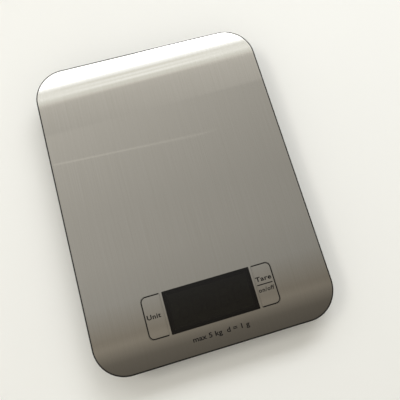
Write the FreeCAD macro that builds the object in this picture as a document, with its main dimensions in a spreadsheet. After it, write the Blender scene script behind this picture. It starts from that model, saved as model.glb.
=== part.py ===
"""Slab-shaped digital gram scale, as a parametric FreeCAD document in millimetres.

Frame: +Z up, +Y to the rear, the display end at -Y, origin at the bottom centre, on the
surface that the four feet stand on. Every size is bound to a cell of the Sizes sheet.
"""

import FreeCAD, Part
import Sketcher
import math
import os

DRIVING_SIZES = {
    # Outline of the case and the layers of its top.
    "case_width": 150.0,
    "case_length": 200.0,
    "case_height": 17.5,
    "corner_radius": 20.0,
    "lip_width": 0.8,
    "lip_rounding": 0.6,
    "plate_gap": 0.1,
    "plate_thickness": 0.6,
    "tape_thickness": 0.2,
    "tape_inset": 1.5,
    "web_thickness": 1.4,
    "tray_wall": 1.8,
    "skirt_depth": 7.5,
    "rib_width": 1.2,
    "rib_depth": 2.0,
    "rib_end_gap": 5.6,
    "long_rib_x": 38.0,
    "long_rib_length": 130.0,
    "long_rib_middle": 20.0,
    # Lower shell.
    "ground_gap": 2.4,
    "cover_wall": 1.6,
    "cover_base_inset": 6.0,
    "cover_top_inset": 2.2,
    "cover_top_drop": 0.6,
    # Display.
    "display_y": -71.5,
    "lens_width": 54.9,
    "lens_length": 25.65,
    "lens_corner": 0.5,
    "lens_thickness": 1.2,
    "lens_ledge": 2.0,
    "glass_width": 50.0,
    "glass_length": 22.6,
    "glass_thickness": 2.4,
    "glass_step": 1.8,
    "holder_wall": 1.6,
    "holder_play": 0.2,
    "zebra_width": 46.0,
    "zebra_thickness": 2.0,
    "zebra_offset": 9.4,
    # Keys beside the display.
    "key_x": 35.0,
    "key_width": 12.0,
    "key_length": 25.6,
    "key_outer_corner": 3.0,
    "key_inner_corner": 0.8,
    "key_gap": 0.12,
    "key_flange": 0.8,
    "key_flange_thickness": 1.0,
    "switch_side": 6.0,
    "switch_base_height": 2.0,
    "switch_button_radius": 1.7,
    "switch_button_rise": 0.6,
    "switch_button_sunk": 0.8,
    "switch_floor": 0.4,
    "switch_play": 0.1,
    # Circuit board.
    "board_width": 86.0,
    "board_length": 36.0,
    "board_thickness": 1.2,
    "board_top": 11.2,
    "board_post_x": 40.0,
    "board_post_y": 16.1,
    "board_post_radius": 1.9,
    "board_screw_radius": 0.8,
    "board_screw_head": 1.6,
    "board_screw_head_height": 0.8,
    "board_screw_grip": 3.0,
    "post_roof": 0.4,
    "chip_radius": 6.0,
    "chip_height": 1.4,
    "chip_rounding": 1.2,
    "resistor_length": 1.6,
    "resistor_width": 0.8,
    "resistor_height": 0.7,
    "resistor_start": -24.0,
    "resistor_step": 3.2,
    "resistor_row": 8.0,
    # Feet and load sensors, centred on the case's corner arcs.
    "foot_radius": 9.0,
    "foot_gap": 0.4,
    "foot_rim_level": 1.2,
    "foot_disc_top": 4.4,
    "foot_rounding": 0.6,
    "tread_rounding": 0.4,
    "pad_play": 0.1,
    "pad_radius": 7.6,
    "pad_recess": 0.6,
    "sensor_side": 20.4,
    "sensor_corner": 4.0,
    "sensor_level": 6.6,
    "sensor_thickness": 1.0,
    "tongue_width": 7.0,
    "tongue_root": 6.5,
    "tongue_tip": 4.2,
    "slot_width": 1.2,
    "gauge_width": 2.6,
    "gauge_length": 4.0,
    "gauge_thickness": 0.15,
    "gauge_offset": 4.3,
    "stem_radius": 1.5,
    "stem_clearance": 0.1,
    "stem_shoulder": 2.8,
    "stem_head": 2.4,
    "stem_head_height": 0.6,
    "retainer_height": 1.4,
    "retainer_opening": 7.4,
    "retainer_screw_offset": 7.0,
    "retainer_screw_radius": 0.8,
    "retainer_screw_depth": 2.2,
    "retainer_screw_head": 1.5,
    "retainer_screw_head_height": 0.8,
    "lead_notch_length": 6.0,
    "lead_notch_offset": 9.0,
    "lead_notch_play": 0.4,
    # Case screws.
    "pillar_radius": 3.4,
    "pillar_top": 9.0,
    "screw_radius": 1.2,
    "screw_head_radius": 2.5,
    "screw_head_height": 1.6,
    "screw_recess": 4.0,
    "screw_head_gap": 0.3,
    "screw_bore_gap": 0.15,
    "screw_grip": 4.0,
    "thread_play": 0.05,
    "boss_roof": 1.0,
    # Battery bay for two cells side by side.
    "bay_y": 45.0,
    "cell_radius": 5.25,
    "cell_length": 43.7,
    "cell_nub_radius": 1.9,
    "cell_nub_length": 0.8,
    "contact_space": 3.0,
    "cell_play": 0.2,
    "bay_wall": 1.2,
    "bay_ceiling": 0.8,
    "door_thickness": 1.2,
    "door_gap": 0.25,
    "door_ledge": 1.5,
    "hinge_pin_radius": 0.4,
    "hinge_pin_length": 1.5,
    "latch_width": 10.0,
    "latch_thickness": 0.8,
    "latch_reach": 3.6,
    "latch_height": 3.8,
    "latch_root_gap": 0.4,
    "latch_root_height": 1.0,
    "latch_nose": 1.5,
    "latch_nose_level": 1.2,
    "latch_well_length": 4.6,
    "latch_well_side": 1.0,
    "latch_well_top": 7.4,
    "catch_level": 0.9,
    "catch_height": 1.4,
    "hinge_pin_play": 0.08,
    "hinge_end_play": 0.3,
    "grip_width": 14.0,
    "grip_groove": 0.7,
    "grip_depth": 0.3,
    "grip_step": 1.6,
    "grip_start": 4.0,
    # Stamped contacts and leads.
    "contact_thickness": 0.4,
    "contact_side": 8.0,
    "boss_rim": 0.5,
    "leaf_width": 4.0,
    "leaf_low": 3.5,
    "leaf_high": 2.5,
    "leaf_flat": 0.6,
    "leaf_set_back": 0.8,
    "tail_width": 3.0,
    "tail_level": 2.1,
    "tail_slot_play": 0.2,
    "tail_reach": 1.2,
    "lead_radius": 0.6,
    "lead_float": 0.8,
    "label_width": 44.0,
    "label_length": 24.0,
    "label_corner": 1.5,
    "label_thickness": 0.15,
    "label_y": -18.0,
}

DOC = FreeCAD.newDocument("GramScale")
VECTOR = FreeCAD.Vector
UP = VECTOR(0, 0, 1)


class Size:
    """A length that carries its sheet expression together with its present value."""

    def __init__(self, text, value):
        self.text = text
        self.value = value

    def _join(self, sign, other, value):
        other_text = other.text if isinstance(other, Size) else repr(other)
        return Size(f"({self.text} {sign} {other_text})", value)

    def __add__(self, other):
        return self._join("+", other, self.value + number(other))

    def __sub__(self, other):
        return self._join("-", other, self.value - number(other))

    def __mul__(self, other):
        return self._join("*", other, self.value * number(other))

    def __truediv__(self, other):
        return self._join("/", other, self.value / number(other))

    def __neg__(self):
        return Size(f"(-1 * {self.text})", -self.value)


def number(size):
    """Present value of a Size or of a plain number."""
    return size.value if isinstance(size, Size) else float(size)


def text_of(size):
    """Expression text of a Size or of a plain number."""
    return size.text if isinstance(size, Size) else repr(float(size))


def mm(value):
    """Size of a plain number of millimetres."""
    return Size(repr(value), value)


def make_sheet():
    """Write the driving sizes into the sheet and return them as Size values by name."""
    sheet = DOC.addObject("Spreadsheet::Sheet", "Sizes")
    for row, (alias, value) in enumerate(DRIVING_SIZES.items(), start=1):
        sheet.set(f"A{row}", alias.replace("_", " "))
        sheet.set(f"B{row}", str(value))
        sheet.setAlias(f"B{row}", alias)
    DOC.recompute()
    return {alias: Size(f"Sizes.{alias}", value) for alias, value in DRIVING_SIZES.items()}


S = make_sheet()
SUB_PARTS = []

# Levels and half sizes that several sub-parts share.
ZERO = Size("0", 0.0)
TOP = S["case_height"]
PLATE_BOTTOM = TOP - S["plate_thickness"]
WEB_TOP = PLATE_BOTTOM - S["tape_thickness"]
WEB_BOTTOM = WEB_TOP - S["web_thickness"]
SKIRT_BOTTOM = TOP - S["skirt_depth"]
LENS_BOTTOM = TOP - S["lens_thickness"]
COVER_FLOOR = S["ground_gap"] + S["cover_wall"]
COVER_TOP = WEB_BOTTOM - S["cover_top_drop"]
BOARD_BOTTOM = S["board_top"] - S["board_thickness"]
SWITCH_TOP = S["board_top"] + S["switch_base_height"] + S["switch_button_rise"]
SENSOR_TOP = S["sensor_level"] + S["sensor_thickness"]
FOOT_X = S["case_width"] / 2 - S["corner_radius"]
FOOT_Y = S["case_length"] / 2 - S["corner_radius"]
DOOR_TOP = S["ground_gap"] + S["door_thickness"]
BAY_WIDTH = S["cell_length"] + S["cell_nub_length"] + S["contact_space"] * 2
BAY_LENGTH = S["cell_radius"] * 4 + S["cell_play"] * 3
BAY_CEILING = DOOR_TOP + S["cell_radius"] * 2 + S["cell_play"]
CELL_LEVEL = DOOR_TOP + S["cell_play"] / 2 + S["cell_radius"]
CELL_SPACING = S["cell_radius"] + S["cell_play"] / 2
HINGE_LEVEL = S["ground_gap"] + S["door_thickness"] / 2
BAY_REAR = S["bay_y"] + BAY_LENGTH / 2 + S["door_ledge"]
WELL_WIDTH = S["latch_width"] + S["latch_well_side"] * 2
WELL_Y = BAY_REAR + S["latch_well_length"] / 2
BOARD_REAR = S["display_y"] + S["board_length"] / 2

CORNERS = {
    "front_left": (-1, -1),
    "front_right": (1, -1),
    "rear_left": (-1, 1),
    "rear_right": (1, 1),
}
COVER_SCREW_PLACES = [(57.0, -48.0), (57.0, 30.0), (26.0, 86.0)]
CROSS_RIBS = [-35.0, 0.0, 72.0]
GRIP_GROOVES = 4
RESISTORS_IN_A_ROW = 6


# ---------------------------------------------------------------- modelling helpers


def new_body(label):
    """Start the body of one sub-part."""
    body = DOC.addObject("PartDesign::Body", "Body_" + label)
    body.Label = label
    SUB_PARTS.append(body)
    return body


def new_sketch(body, level=ZERO, role="XY_Plane", x=0.0, y=0.0):
    """Empty sketch on one of the body's own origin planes, moved by bound offsets."""
    plane = next(f for f in body.Origin.OriginFeatures if f.Role == role)
    sketch = body.newObject("Sketcher::SketchObject", "Sketch")
    sketch.AttachmentSupport = [(plane, "")]
    sketch.MapMode = "FlatFace"
    for axis, offset in (("x", x), ("y", y), ("z", level)):
        if number(offset) != 0.0:
            sketch.setExpression(f"AttachmentOffset.Base.{axis}", text_of(offset))
    return sketch


def bind(sketch, kind, *arguments):
    """Add a dimension whose last argument is a Size and bind it to its expression."""
    *points, size = arguments
    index = sketch.addConstraint(Sketcher.Constraint(kind, *points, number(size)))
    if isinstance(size, Size):
        sketch.setExpression(f"Constraints[{index}]", size.text)


def place_point(sketch, geometry, point, x, y):
    """Fix a point of the sketch at x, y from the sketch origin."""
    for kind, size in (("DistanceX", x), ("DistanceY", y)):
        bind(sketch, kind, -1, 1, geometry, point, size)


def circles(sketch, radius, places):
    """Circles of one radius at the given places."""
    for x, y in places:
        centre = VECTOR(number(x), number(y), 0)
        index = sketch.addGeometry(Part.Circle(centre, UP, number(radius)))
        place_point(sketch, index, 3, x, y)
        bind(sketch, "Radius", index, radius)


def outline(sketch, points):
    """Closed outline of straight lines, with every corner fixed by bound distances."""
    corners = [VECTOR(number(x), number(y), 0) for x, y in points]
    count = len(corners)
    lines = []
    for index in range(count):
        segment = Part.LineSegment(corners[index], corners[(index + 1) % count])
        lines.append(sketch.addGeometry(segment))
    for index in range(count):
        following = lines[(index + 1) % count]
        sketch.addConstraint(Sketcher.Constraint("Coincident", lines[index], 2, following, 1))
        place_point(sketch, lines[index], 1, *points[index])


def rectangle(sketch, width, length, x=ZERO, y=ZERO):
    """Rectangle centred at x, y."""
    left, right = x - width / 2, x + width / 2
    front, rear = y - length / 2, y + length / 2
    outline(sketch, [(left, front), (right, front), (right, rear), (left, rear)])


def rounded_rectangle(sketch, width, length, right_radius, left_radius=None):
    """Rounded rectangle about the sketch origin; the left corners may differ."""
    left_radius = left_radius or right_radius
    half_w, half_l = number(width) / 2, number(length) / 2
    corners = [
        (1, -1, number(right_radius), -90),
        (1, 1, number(right_radius), 0),
        (-1, 1, number(left_radius), 90),
        (-1, -1, number(left_radius), 180),
    ]
    arcs = []
    for side_x, side_y, radius, start in corners:
        centre = VECTOR(side_x * (half_w - radius), side_y * (half_l - radius), 0)
        circle = Part.Circle(centre, UP, radius)
        quarter = Part.ArcOfCircle(circle, math.radians(start), math.radians(start + 90))
        arcs.append(sketch.addGeometry(quarter))
    lines = []
    for index in range(4):
        first = sketch.getPoint(arcs[index], 2)
        second = sketch.getPoint(arcs[(index + 1) % 4], 1)
        lines.append(sketch.addGeometry(Part.LineSegment(first, second)))
    for index in range(4):
        following = arcs[(index + 1) % 4]
        sketch.addConstraint(Sketcher.Constraint("Tangent", arcs[index], 2, lines[index], 1))
        sketch.addConstraint(Sketcher.Constraint("Tangent", lines[index], 2, following, 1))
    for index, kind in enumerate(("Vertical", "Horizontal", "Vertical", "Horizontal")):
        sketch.addConstraint(Sketcher.Constraint(kind, lines[index]))
    bind(sketch, "Radius", arcs[0], right_radius)
    bind(sketch, "Radius", arcs[2], left_radius)
    sketch.addConstraint(Sketcher.Constraint("Equal", arcs[0], arcs[1]))
    sketch.addConstraint(Sketcher.Constraint("Equal", arcs[2], arcs[3]))
    bind(sketch, "DistanceX", -1, 1, lines[0], 1, width / 2)
    bind(sketch, "DistanceX", lines[2], 1, -1, 1, width / 2)
    bind(sketch, "DistanceY", -1, 1, lines[1], 1, length / 2)
    bind(sketch, "DistanceY", lines[3], 1, -1, 1, length / 2)


def pad(body, sketch, height, both_ways=False):
    """Extrude a sketch along its normal."""
    feature = body.newObject("PartDesign::Pad", "Pad")
    feature.Profile = sketch
    feature.setExpression("Length", text_of(height))
    feature.Midplane = both_ways
    sketch.Visibility = False
    return feature


def pocket(body, sketch, depth, upwards=False):
    """Cut a sketch against its normal, or along it, and make sure that it removes material."""
    DOC.recompute()
    before = body.Shape.Volume
    feature = body.newObject("PartDesign::Pocket", "Pocket")
    feature.Profile = sketch
    feature.setExpression("Length", text_of(depth))
    feature.Reversed = upwards
    sketch.Visibility = False
    DOC.recompute()
    if not body.Shape.Volume < before:
        raise RuntimeError(f"{body.Label}: a pocket removes nothing")
    return feature


def round_lowest_face(body, feature, radius):
    """Round the edges of a feature's lowest face."""
    DOC.recompute()
    faces = feature.Shape.Faces
    lowest = min(range(len(faces)), key=lambda index: faces[index].CenterOfMass.z)
    rounding = body.newObject("PartDesign::Fillet", "Rounding")
    rounding.Base = (feature, [f"Face{lowest + 1}"])
    rounding.setExpression("Radius", radius.text)


def cylinders(body, level, radius, height, places):
    """Upright round posts on a level."""
    sketch = new_sketch(body, level)
    circles(sketch, radius, places)
    return pad(body, sketch, height)


def holes(body, level, radius, depth, places):
    """Round holes cut upwards from a level."""
    sketch = new_sketch(body, level)
    circles(sketch, radius, places)
    return pocket(body, sketch, depth, upwards=True)


def block(body, level, width, length, height, x=ZERO, y=ZERO):
    """Square-cornered block standing on a level."""
    sketch = new_sketch(body, level)
    rectangle(sketch, width, length, x, y)
    return pad(body, sketch, height)


def cut_block(body, level, width, length, height, x=ZERO, y=ZERO):
    """Square-cornered space cut upwards from a level."""
    sketch = new_sketch(body, level)
    rectangle(sketch, width, length, x, y)
    return pocket(body, sketch, height, upwards=True)


def rounded_block(body, level, width, length, height, right_radius, left_radius=None, x=0.0, y=0.0):
    """Round-cornered block standing on a level."""
    sketch = new_sketch(body, level, x=x, y=y)
    rounded_rectangle(sketch, width, length, right_radius, left_radius)
    return pad(body, sketch, height)


def cut_rounded_block(body, level, width, length, height, right_radius, left_radius=None, x=0.0, y=0.0):
    """Round-cornered space cut upwards from a level."""
    sketch = new_sketch(body, level, x=x, y=y)
    rounded_rectangle(sketch, width, length, right_radius, left_radius)
    return pocket(body, sketch, height, upwards=True)


def case_sketch(body, level, inset):
    """Outline of the case, moved inwards by an inset that its corners share."""
    sketch = new_sketch(body, level)
    rounded_rectangle(
        sketch,
        S["case_width"] - inset * 2,
        S["case_length"] - inset * 2,
        S["corner_radius"] - inset,
    )
    return sketch


def mirrored_places(x, y):
    """The four places at plus and minus x and y."""
    return [(x * side_x, y * side_y) for side_x, side_y in CORNERS.values()]


def cover_screw_places():
    """Places of the six screws that join the two shells."""
    places = [(x * side, y) for x, y in COVER_SCREW_PLACES for side in (-1, 1)]
    return [(mm(x), mm(y)) for x, y in places]


def board_post_places():
    """Places of the four posts that carry the circuit board."""
    return [(x, y + S["display_y"]) for x, y in mirrored_places(S["board_post_x"], S["board_post_y"])]


def key_corners(side):
    """Right and left corner radii of a key on one side of the display."""
    outer, inner = S["key_outer_corner"], S["key_inner_corner"]
    return (inner, outer) if side < 0 else (outer, inner)


# ---------------------------------------------------------------- platform and shells


def make_platform_plate():
    """Flat steel plate, open for the display window and the two keys."""
    body = new_body("platform_plate")
    pad(body, case_sketch(body, PLATE_BOTTOM, S["lip_width"] + S["plate_gap"]), S["plate_thickness"])
    cut_top_openings(body, PLATE_BOTTOM, S["plate_thickness"])


def cut_top_openings(body, level, depth):
    """Openings for the lens and the keys, with the running gap of the keys."""
    cut_rounded_block(
        body,
        level,
        S["lens_width"] + S["plate_gap"] * 2,
        S["lens_length"] + S["plate_gap"] * 2,
        depth,
        S["lens_corner"],
        y=S["display_y"],
    )
    cut_key_openings(body, level, depth)


def cut_key_openings(body, level, depth):
    """The two openings that the keys travel in."""
    for side in (-1, 1):
        cut_rounded_block(
            body,
            level,
            S["key_width"] + S["key_gap"] * 2,
            S["key_length"] + S["key_gap"] * 2,
            depth,
            *key_corners(side),
            x=S["key_x"] * side,
            y=S["display_y"],
        )


def make_plate_tape():
    """Sheet of double-sided tape under the plate, cut out like it."""
    body = new_body("plate_tape")
    pad(body, case_sketch(body, WEB_TOP, S["lip_width"] + S["tape_inset"]), S["tape_thickness"])
    cut_top_openings(body, WEB_TOP, S["tape_thickness"])


def make_top_tray():
    """Upper shell: skirt, thin lip, web under the plate, ribs, posts and bosses."""
    body = new_body("top_tray")
    shell = pad(body, case_sketch(body, SKIRT_BOTTOM, ZERO), S["skirt_depth"])
    DOC.recompute()
    top_face = max(range(len(shell.Shape.Faces)), key=lambda i: shell.Shape.Faces[i].CenterOfMass.z)
    rounding = body.newObject("PartDesign::Fillet", "LipRounding")
    rounding.Base = (shell, [f"Face{top_face + 1}"])
    rounding.setExpression("Radius", S["lip_rounding"].text)
    pocket(body, case_sketch(body, WEB_TOP, S["lip_width"]), TOP - WEB_TOP, upwards=True)
    pocket(body, case_sketch(body, SKIRT_BOTTOM, S["tray_wall"]), WEB_BOTTOM - SKIRT_BOTTOM, upwards=True)
    cut_key_openings(body, WEB_BOTTOM, S["web_thickness"])
    add_lens_seat(body)
    add_tray_ribs(body)
    boss_height = WEB_BOTTOM - S["pillar_top"]
    cylinders(body, S["pillar_top"], S["pillar_radius"], boss_height, cover_screw_places())
    pilot_depth = boss_height - S["boss_roof"]
    holes(body, S["pillar_top"], S["screw_radius"], pilot_depth, cover_screw_places())
    post_height = WEB_BOTTOM - S["board_top"]
    cylinders(body, S["board_top"], S["board_post_radius"], post_height, board_post_places())
    pilot_depth = post_height - S["post_roof"]
    holes(body, S["board_top"], S["board_screw_radius"], pilot_depth, board_post_places())


def add_lens_seat(body):
    """Recess that the lens rests in, and the viewing opening inside its ledge."""
    width, length = S["lens_width"] + S["plate_gap"] * 2, S["lens_length"] + S["plate_gap"] * 2
    cut_rounded_block(
        body, LENS_BOTTOM, width, length, WEB_TOP - LENS_BOTTOM, S["lens_corner"], y=S["display_y"]
    )
    cut_block(
        body,
        WEB_BOTTOM,
        S["lens_width"] - S["lens_ledge"] * 2,
        S["lens_length"] - S["lens_ledge"] * 2,
        LENS_BOTTOM - WEB_BOTTOM,
        y=S["display_y"],
    )


def add_tray_ribs(body):
    """Stiffening ribs under the web, clear of the display and the battery bay."""
    rib, depth = S["rib_width"], S["rib_depth"]
    level = WEB_BOTTOM - depth
    span = S["case_width"] - (S["tray_wall"] + S["rib_end_gap"]) * 2
    for y in CROSS_RIBS:
        block(body, level, span, rib, depth, y=mm(y))
    for side in (-1, 1):
        x = S["long_rib_x"] * side
        block(body, level, rib, S["long_rib_length"], depth, x=x, y=S["long_rib_middle"])


def make_bottom_cover():
    """Lower shell with tapered walls, foot wells, pillars and the battery bay."""
    body = new_body("bottom_cover")
    loft_between(
        body,
        "PartDesign::AdditiveLoft",
        case_sketch(body, S["ground_gap"], S["cover_base_inset"]),
        case_sketch(body, COVER_TOP, S["cover_top_inset"]),
    )
    loft_between(
        body,
        "PartDesign::SubtractiveLoft",
        case_sketch(body, COVER_FLOOR, S["cover_base_inset"] + S["cover_wall"]),
        case_sketch(body, COVER_TOP, S["cover_top_inset"] + S["cover_wall"]),
    )
    add_foot_wells(body)
    cylinders(body, COVER_FLOOR, S["pillar_radius"], S["pillar_top"] - COVER_FLOOR, cover_screw_places())
    recess_depth = S["screw_recess"]
    head_room = S["screw_head_radius"] + S["screw_head_gap"]
    holes(body, S["ground_gap"], head_room, recess_depth, cover_screw_places())
    neck = S["pillar_top"] - S["ground_gap"] - recess_depth
    bore = S["screw_radius"] + S["screw_bore_gap"]
    holes(body, S["ground_gap"] + recess_depth, bore, neck, cover_screw_places())
    add_battery_bay(body)


def loft_between(body, kind, lower, upper):
    """Loft, added or cut, from a lower to an upper outline."""
    feature = body.newObject(kind, "Loft")
    feature.Profile = lower
    feature.Sections = [upper]
    feature.Ruled = True
    DOC.recompute()
    return feature


def add_foot_wells(body):
    """Seat for each load sensor, with the round well that its foot moves in."""
    places = mirrored_places(FOOT_X, FOOT_Y)
    for x, y in places:
        rounded_block(
            body,
            COVER_FLOOR,
            S["sensor_side"],
            S["sensor_side"],
            S["sensor_level"] - COVER_FLOOR,
            S["sensor_corner"],
            x=x,
            y=y,
        )
    well_radius = S["foot_radius"] + S["foot_gap"]
    holes(body, S["ground_gap"], well_radius, S["sensor_level"] - S["ground_gap"], places)
    depth = S["retainer_screw_depth"]
    screws = retainer_screw_places()
    holes(body, S["sensor_level"] - depth, S["retainer_screw_radius"], depth, screws)


def screws_of_foot(side_x, side_y):
    """Two screws on one diagonal of a load sensor, outside its foot well."""
    offset = S["retainer_screw_offset"]
    x, y = FOOT_X * side_x, FOOT_Y * side_y
    return [(x + offset * (side_x * sign), y - offset * (side_y * sign)) for sign in (-1, 1)]


def retainer_screw_places():
    """Places of all the sensor screws."""
    return [place for sides in CORNERS.values() for place in screws_of_foot(*sides)]


def add_battery_bay(body):
    """Walled bay that opens downwards, with the door's seat, hinge holes and latch well."""
    wall, base = S["bay_wall"], S["ground_gap"]
    bay_height = BAY_CEILING + S["bay_ceiling"] - COVER_FLOOR
    block(body, COVER_FLOOR, BAY_WIDTH + wall * 2, BAY_LENGTH + wall * 2, bay_height, y=S["bay_y"])
    well_length, well_top = S["latch_well_length"], S["latch_well_top"]
    well_height = well_top + wall - COVER_FLOOR
    block(body, COVER_FLOOR, WELL_WIDTH + wall * 2, well_length + wall * 2, well_height, y=WELL_Y)
    cut_block(body, base, BAY_WIDTH, BAY_LENGTH, BAY_CEILING - base, y=S["bay_y"])
    seat = S["door_ledge"] * 2
    cut_block(body, base, BAY_WIDTH + seat, BAY_LENGTH + seat, S["door_thickness"], y=S["bay_y"])
    cut_block(body, base, WELL_WIDTH, well_length, well_top - base, y=WELL_Y)
    catch_y = WELL_Y + well_length / 2 + wall / 4
    catch_level = base + S["catch_level"]
    cut_block(body, catch_level, WELL_WIDTH, wall / 2, S["catch_height"], y=catch_y)
    cut_hinge_holes(body)
    cut_tail_slots(body)


def cut_tail_slots(body):
    """Slots in the bay's end wall, which the solder tails of the terminals pass through."""
    play = S["tail_slot_play"]
    level = CELL_LEVEL + S["tail_level"] - play / 2
    for side in (-1, 1):
        y = S["bay_y"] + CELL_SPACING * side
        x = -(BAY_WIDTH / 2 + S["bay_wall"] / 2)
        width, height = S["tail_width"] + play, S["contact_thickness"] + play
        cut_block(body, level, S["bay_wall"] + play * 2, width, height, x=x, y=y)


def hinge_y():
    """Distance along Y of the door's hinge axis."""
    front_edge = S["bay_y"] - BAY_LENGTH / 2 - S["door_ledge"] + S["door_gap"]
    return front_edge + S["door_thickness"] / 2


def cut_hinge_holes(body):
    """Blind holes along X at both ends of the door's seat, for the hinge pins."""
    half_door = BAY_WIDTH / 2 + S["door_ledge"] - S["door_gap"]
    reach = half_door + S["hinge_pin_length"] + S["hinge_end_play"]
    sketch = new_sketch(body, reach, "YZ_Plane")
    bore = S["hinge_pin_radius"] + S["hinge_pin_play"]
    circles(sketch, bore, [(hinge_y(), HINGE_LEVEL)])
    pocket(body, sketch, reach * 2)


# ---------------------------------------------------------------- display and keys


def make_display_lens():
    """Tinted window, flush with the plate, resting on the tray's ledge."""
    body = new_body("display_lens")
    rounded_block(
        body, LENS_BOTTOM, S["lens_width"], S["lens_length"], S["lens_thickness"],
        S["lens_corner"], y=S["display_y"],
    )


def make_lcd_panel():
    """Two bonded sheets of display glass; the upper one is shorter, to bare the contact edge."""
    body = new_body("lcd_panel")
    half = S["glass_thickness"] / 2
    lower_level = WEB_BOTTOM - S["glass_thickness"]
    block(body, lower_level, S["glass_width"], S["glass_length"], half, y=S["display_y"])
    step = S["glass_step"]
    upper_y = S["display_y"] - step / 2
    block(body, WEB_BOTTOM - half, S["glass_width"], S["glass_length"] - step, half, y=upper_y)


def make_lcd_frame():
    """Moulded holder that keeps the glass and its contact strips on the board."""
    body = new_body("lcd_frame")
    wall, play = S["holder_wall"], S["holder_play"]
    glass_w, glass_l = S["glass_width"] + play, S["glass_length"] + play
    height = WEB_BOTTOM - S["board_top"]
    block(body, S["board_top"], glass_w + wall * 2, glass_l + wall * 2, height, y=S["display_y"])
    glass_level = WEB_BOTTOM - S["glass_thickness"]
    cut_block(body, glass_level, glass_w, glass_l, S["glass_thickness"], y=S["display_y"])
    for side in (-1, 1):
        y = S["display_y"] + S["zebra_offset"] * side
        slot_w, slot_l = S["zebra_width"] + play, S["zebra_thickness"] + play
        cut_block(body, S["board_top"], slot_w, slot_l, glass_level - S["board_top"], y=y)


def make_zebra_strips():
    """The two elastomer strips that connect the glass to the board."""
    body = new_body("zebra_strips")
    height = WEB_BOTTOM - S["glass_thickness"] - S["board_top"]
    for side in (-1, 1):
        y = S["display_y"] + S["zebra_offset"] * side
        block(body, S["board_top"], S["zebra_width"], S["zebra_thickness"], height, y=y)


def make_key(name, side):
    """One key: steel face, moulded carrier with a retaining flange, and its switch."""
    x, y = S["key_x"] * side, S["display_y"]
    corners = key_corners(side)
    face = new_body(f"{name}_key_face")
    rounded_block(
        face, PLATE_BOTTOM, S["key_width"], S["key_length"], S["plate_thickness"], *corners, x=x, y=y
    )
    carrier = new_body(f"{name}_key_carrier")
    flange_level = WEB_BOTTOM - S["key_flange_thickness"]
    rounded_block(
        carrier, flange_level, S["key_width"], S["key_length"], PLATE_BOTTOM - flange_level,
        *corners, x=x, y=y,
    )
    reach = S["key_flange"] * 2
    rounded_block(
        carrier, flange_level, S["key_width"] + reach, S["key_length"] + reach,
        S["key_flange_thickness"], *corners, x=x, y=y,
    )
    cylinders(carrier, SWITCH_TOP, S["switch_button_radius"], flange_level - SWITCH_TOP, [(x, y)])
    make_switch(name, x, y)


def make_switch(name, x, y):
    """Low switch on the board: hollow base and the button that the key's plunger rests on."""
    base = new_body(f"{name}_switch_base")
    block(base, S["board_top"], S["switch_side"], S["switch_side"], S["switch_base_height"], x, y)
    bore = S["switch_button_radius"] + S["switch_play"]
    floor = S["board_top"] + S["switch_floor"]
    base_top = S["board_top"] + S["switch_base_height"]
    holes(base, floor, bore, base_top - floor, [(x, y)])
    button = new_body(f"{name}_switch_button")
    button_bottom = base_top - S["switch_button_sunk"]
    cylinders(button, button_bottom, S["switch_button_radius"], SWITCH_TOP - button_bottom, [(x, y)])


# ---------------------------------------------------------------- electronics


def make_main_board():
    """Circuit board hung under the tray's posts."""
    body = new_body("main_board")
    thickness = S["board_thickness"]
    block(body, BOARD_BOTTOM, S["board_width"], S["board_length"], thickness, y=S["display_y"])
    bore = S["board_screw_radius"] + S["screw_bore_gap"]
    holes(body, BOARD_BOTTOM, bore, thickness, board_post_places())


def make_controller_chip():
    """Bonded controller under a low round cap of resin, on the board's underside."""
    body = new_body("controller_chip")
    height = S["chip_height"]
    centre = [(ZERO, S["display_y"])]
    cap = cylinders(body, BOARD_BOTTOM - height, S["chip_radius"], height, centre)
    round_lowest_face(body, cap, S["chip_rounding"])


def make_board_parts():
    """Resistors, a capacitor and the crystal on the board's underside."""
    body = new_body("board_parts")
    length, width, height = S["resistor_length"], S["resistor_width"], S["resistor_height"]
    level = BOARD_BOTTOM - height
    for column in range(RESISTORS_IN_A_ROW):
        x = S["resistor_start"] + S["resistor_step"] * column
        block(body, level, length, width, height, x=x, y=S["display_y"] - S["resistor_row"])
        block(body, level, width, length, height, x=x, y=S["display_y"] + S["resistor_row"])
    crystal_height, capacitor_height = mm(2.2), mm(1.3)
    crystal_y, capacitor_y = S["display_y"] + 6.0, S["display_y"] - 7.0
    level = BOARD_BOTTOM - crystal_height
    block(body, level, mm(7.0), mm(3.0), crystal_height, x=mm(14.0), y=crystal_y)
    level = BOARD_BOTTOM - capacitor_height
    block(body, level, mm(3.5), mm(2.8), capacitor_height, x=mm(16.0), y=capacitor_y)


# ---------------------------------------------------------------- feet and load sensors


def make_foot(corner, side_x, side_y):
    """Foot cap riveted to the sensor tongue, and the rubber pad in its recess."""
    centre = [(FOOT_X * side_x, FOOT_Y * side_y)]
    cap = new_body(f"foot_cap_{corner}")
    disc_height = S["foot_disc_top"] - S["foot_rim_level"]
    disc = cylinders(cap, S["foot_rim_level"], S["foot_radius"], disc_height, centre)
    round_lowest_face(cap, disc, S["foot_rounding"])
    holes(cap, S["foot_rim_level"], S["pad_radius"] + S["pad_play"], S["pad_recess"], centre)
    shoulder_height = S["sensor_level"] - S["foot_disc_top"]
    cylinders(cap, S["foot_disc_top"], S["stem_shoulder"], shoulder_height, centre)
    cylinders(cap, S["sensor_level"], S["stem_radius"], S["sensor_thickness"], centre)
    cylinders(cap, SENSOR_TOP, S["stem_head"], S["stem_head_height"], centre)
    rubber = new_body(f"foot_pad_{corner}")
    pad_height = S["foot_rim_level"] + S["pad_recess"]
    tread = cylinders(rubber, ZERO, S["pad_radius"], pad_height, centre)
    round_lowest_face(rubber, tread, S["tread_rounding"])


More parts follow.
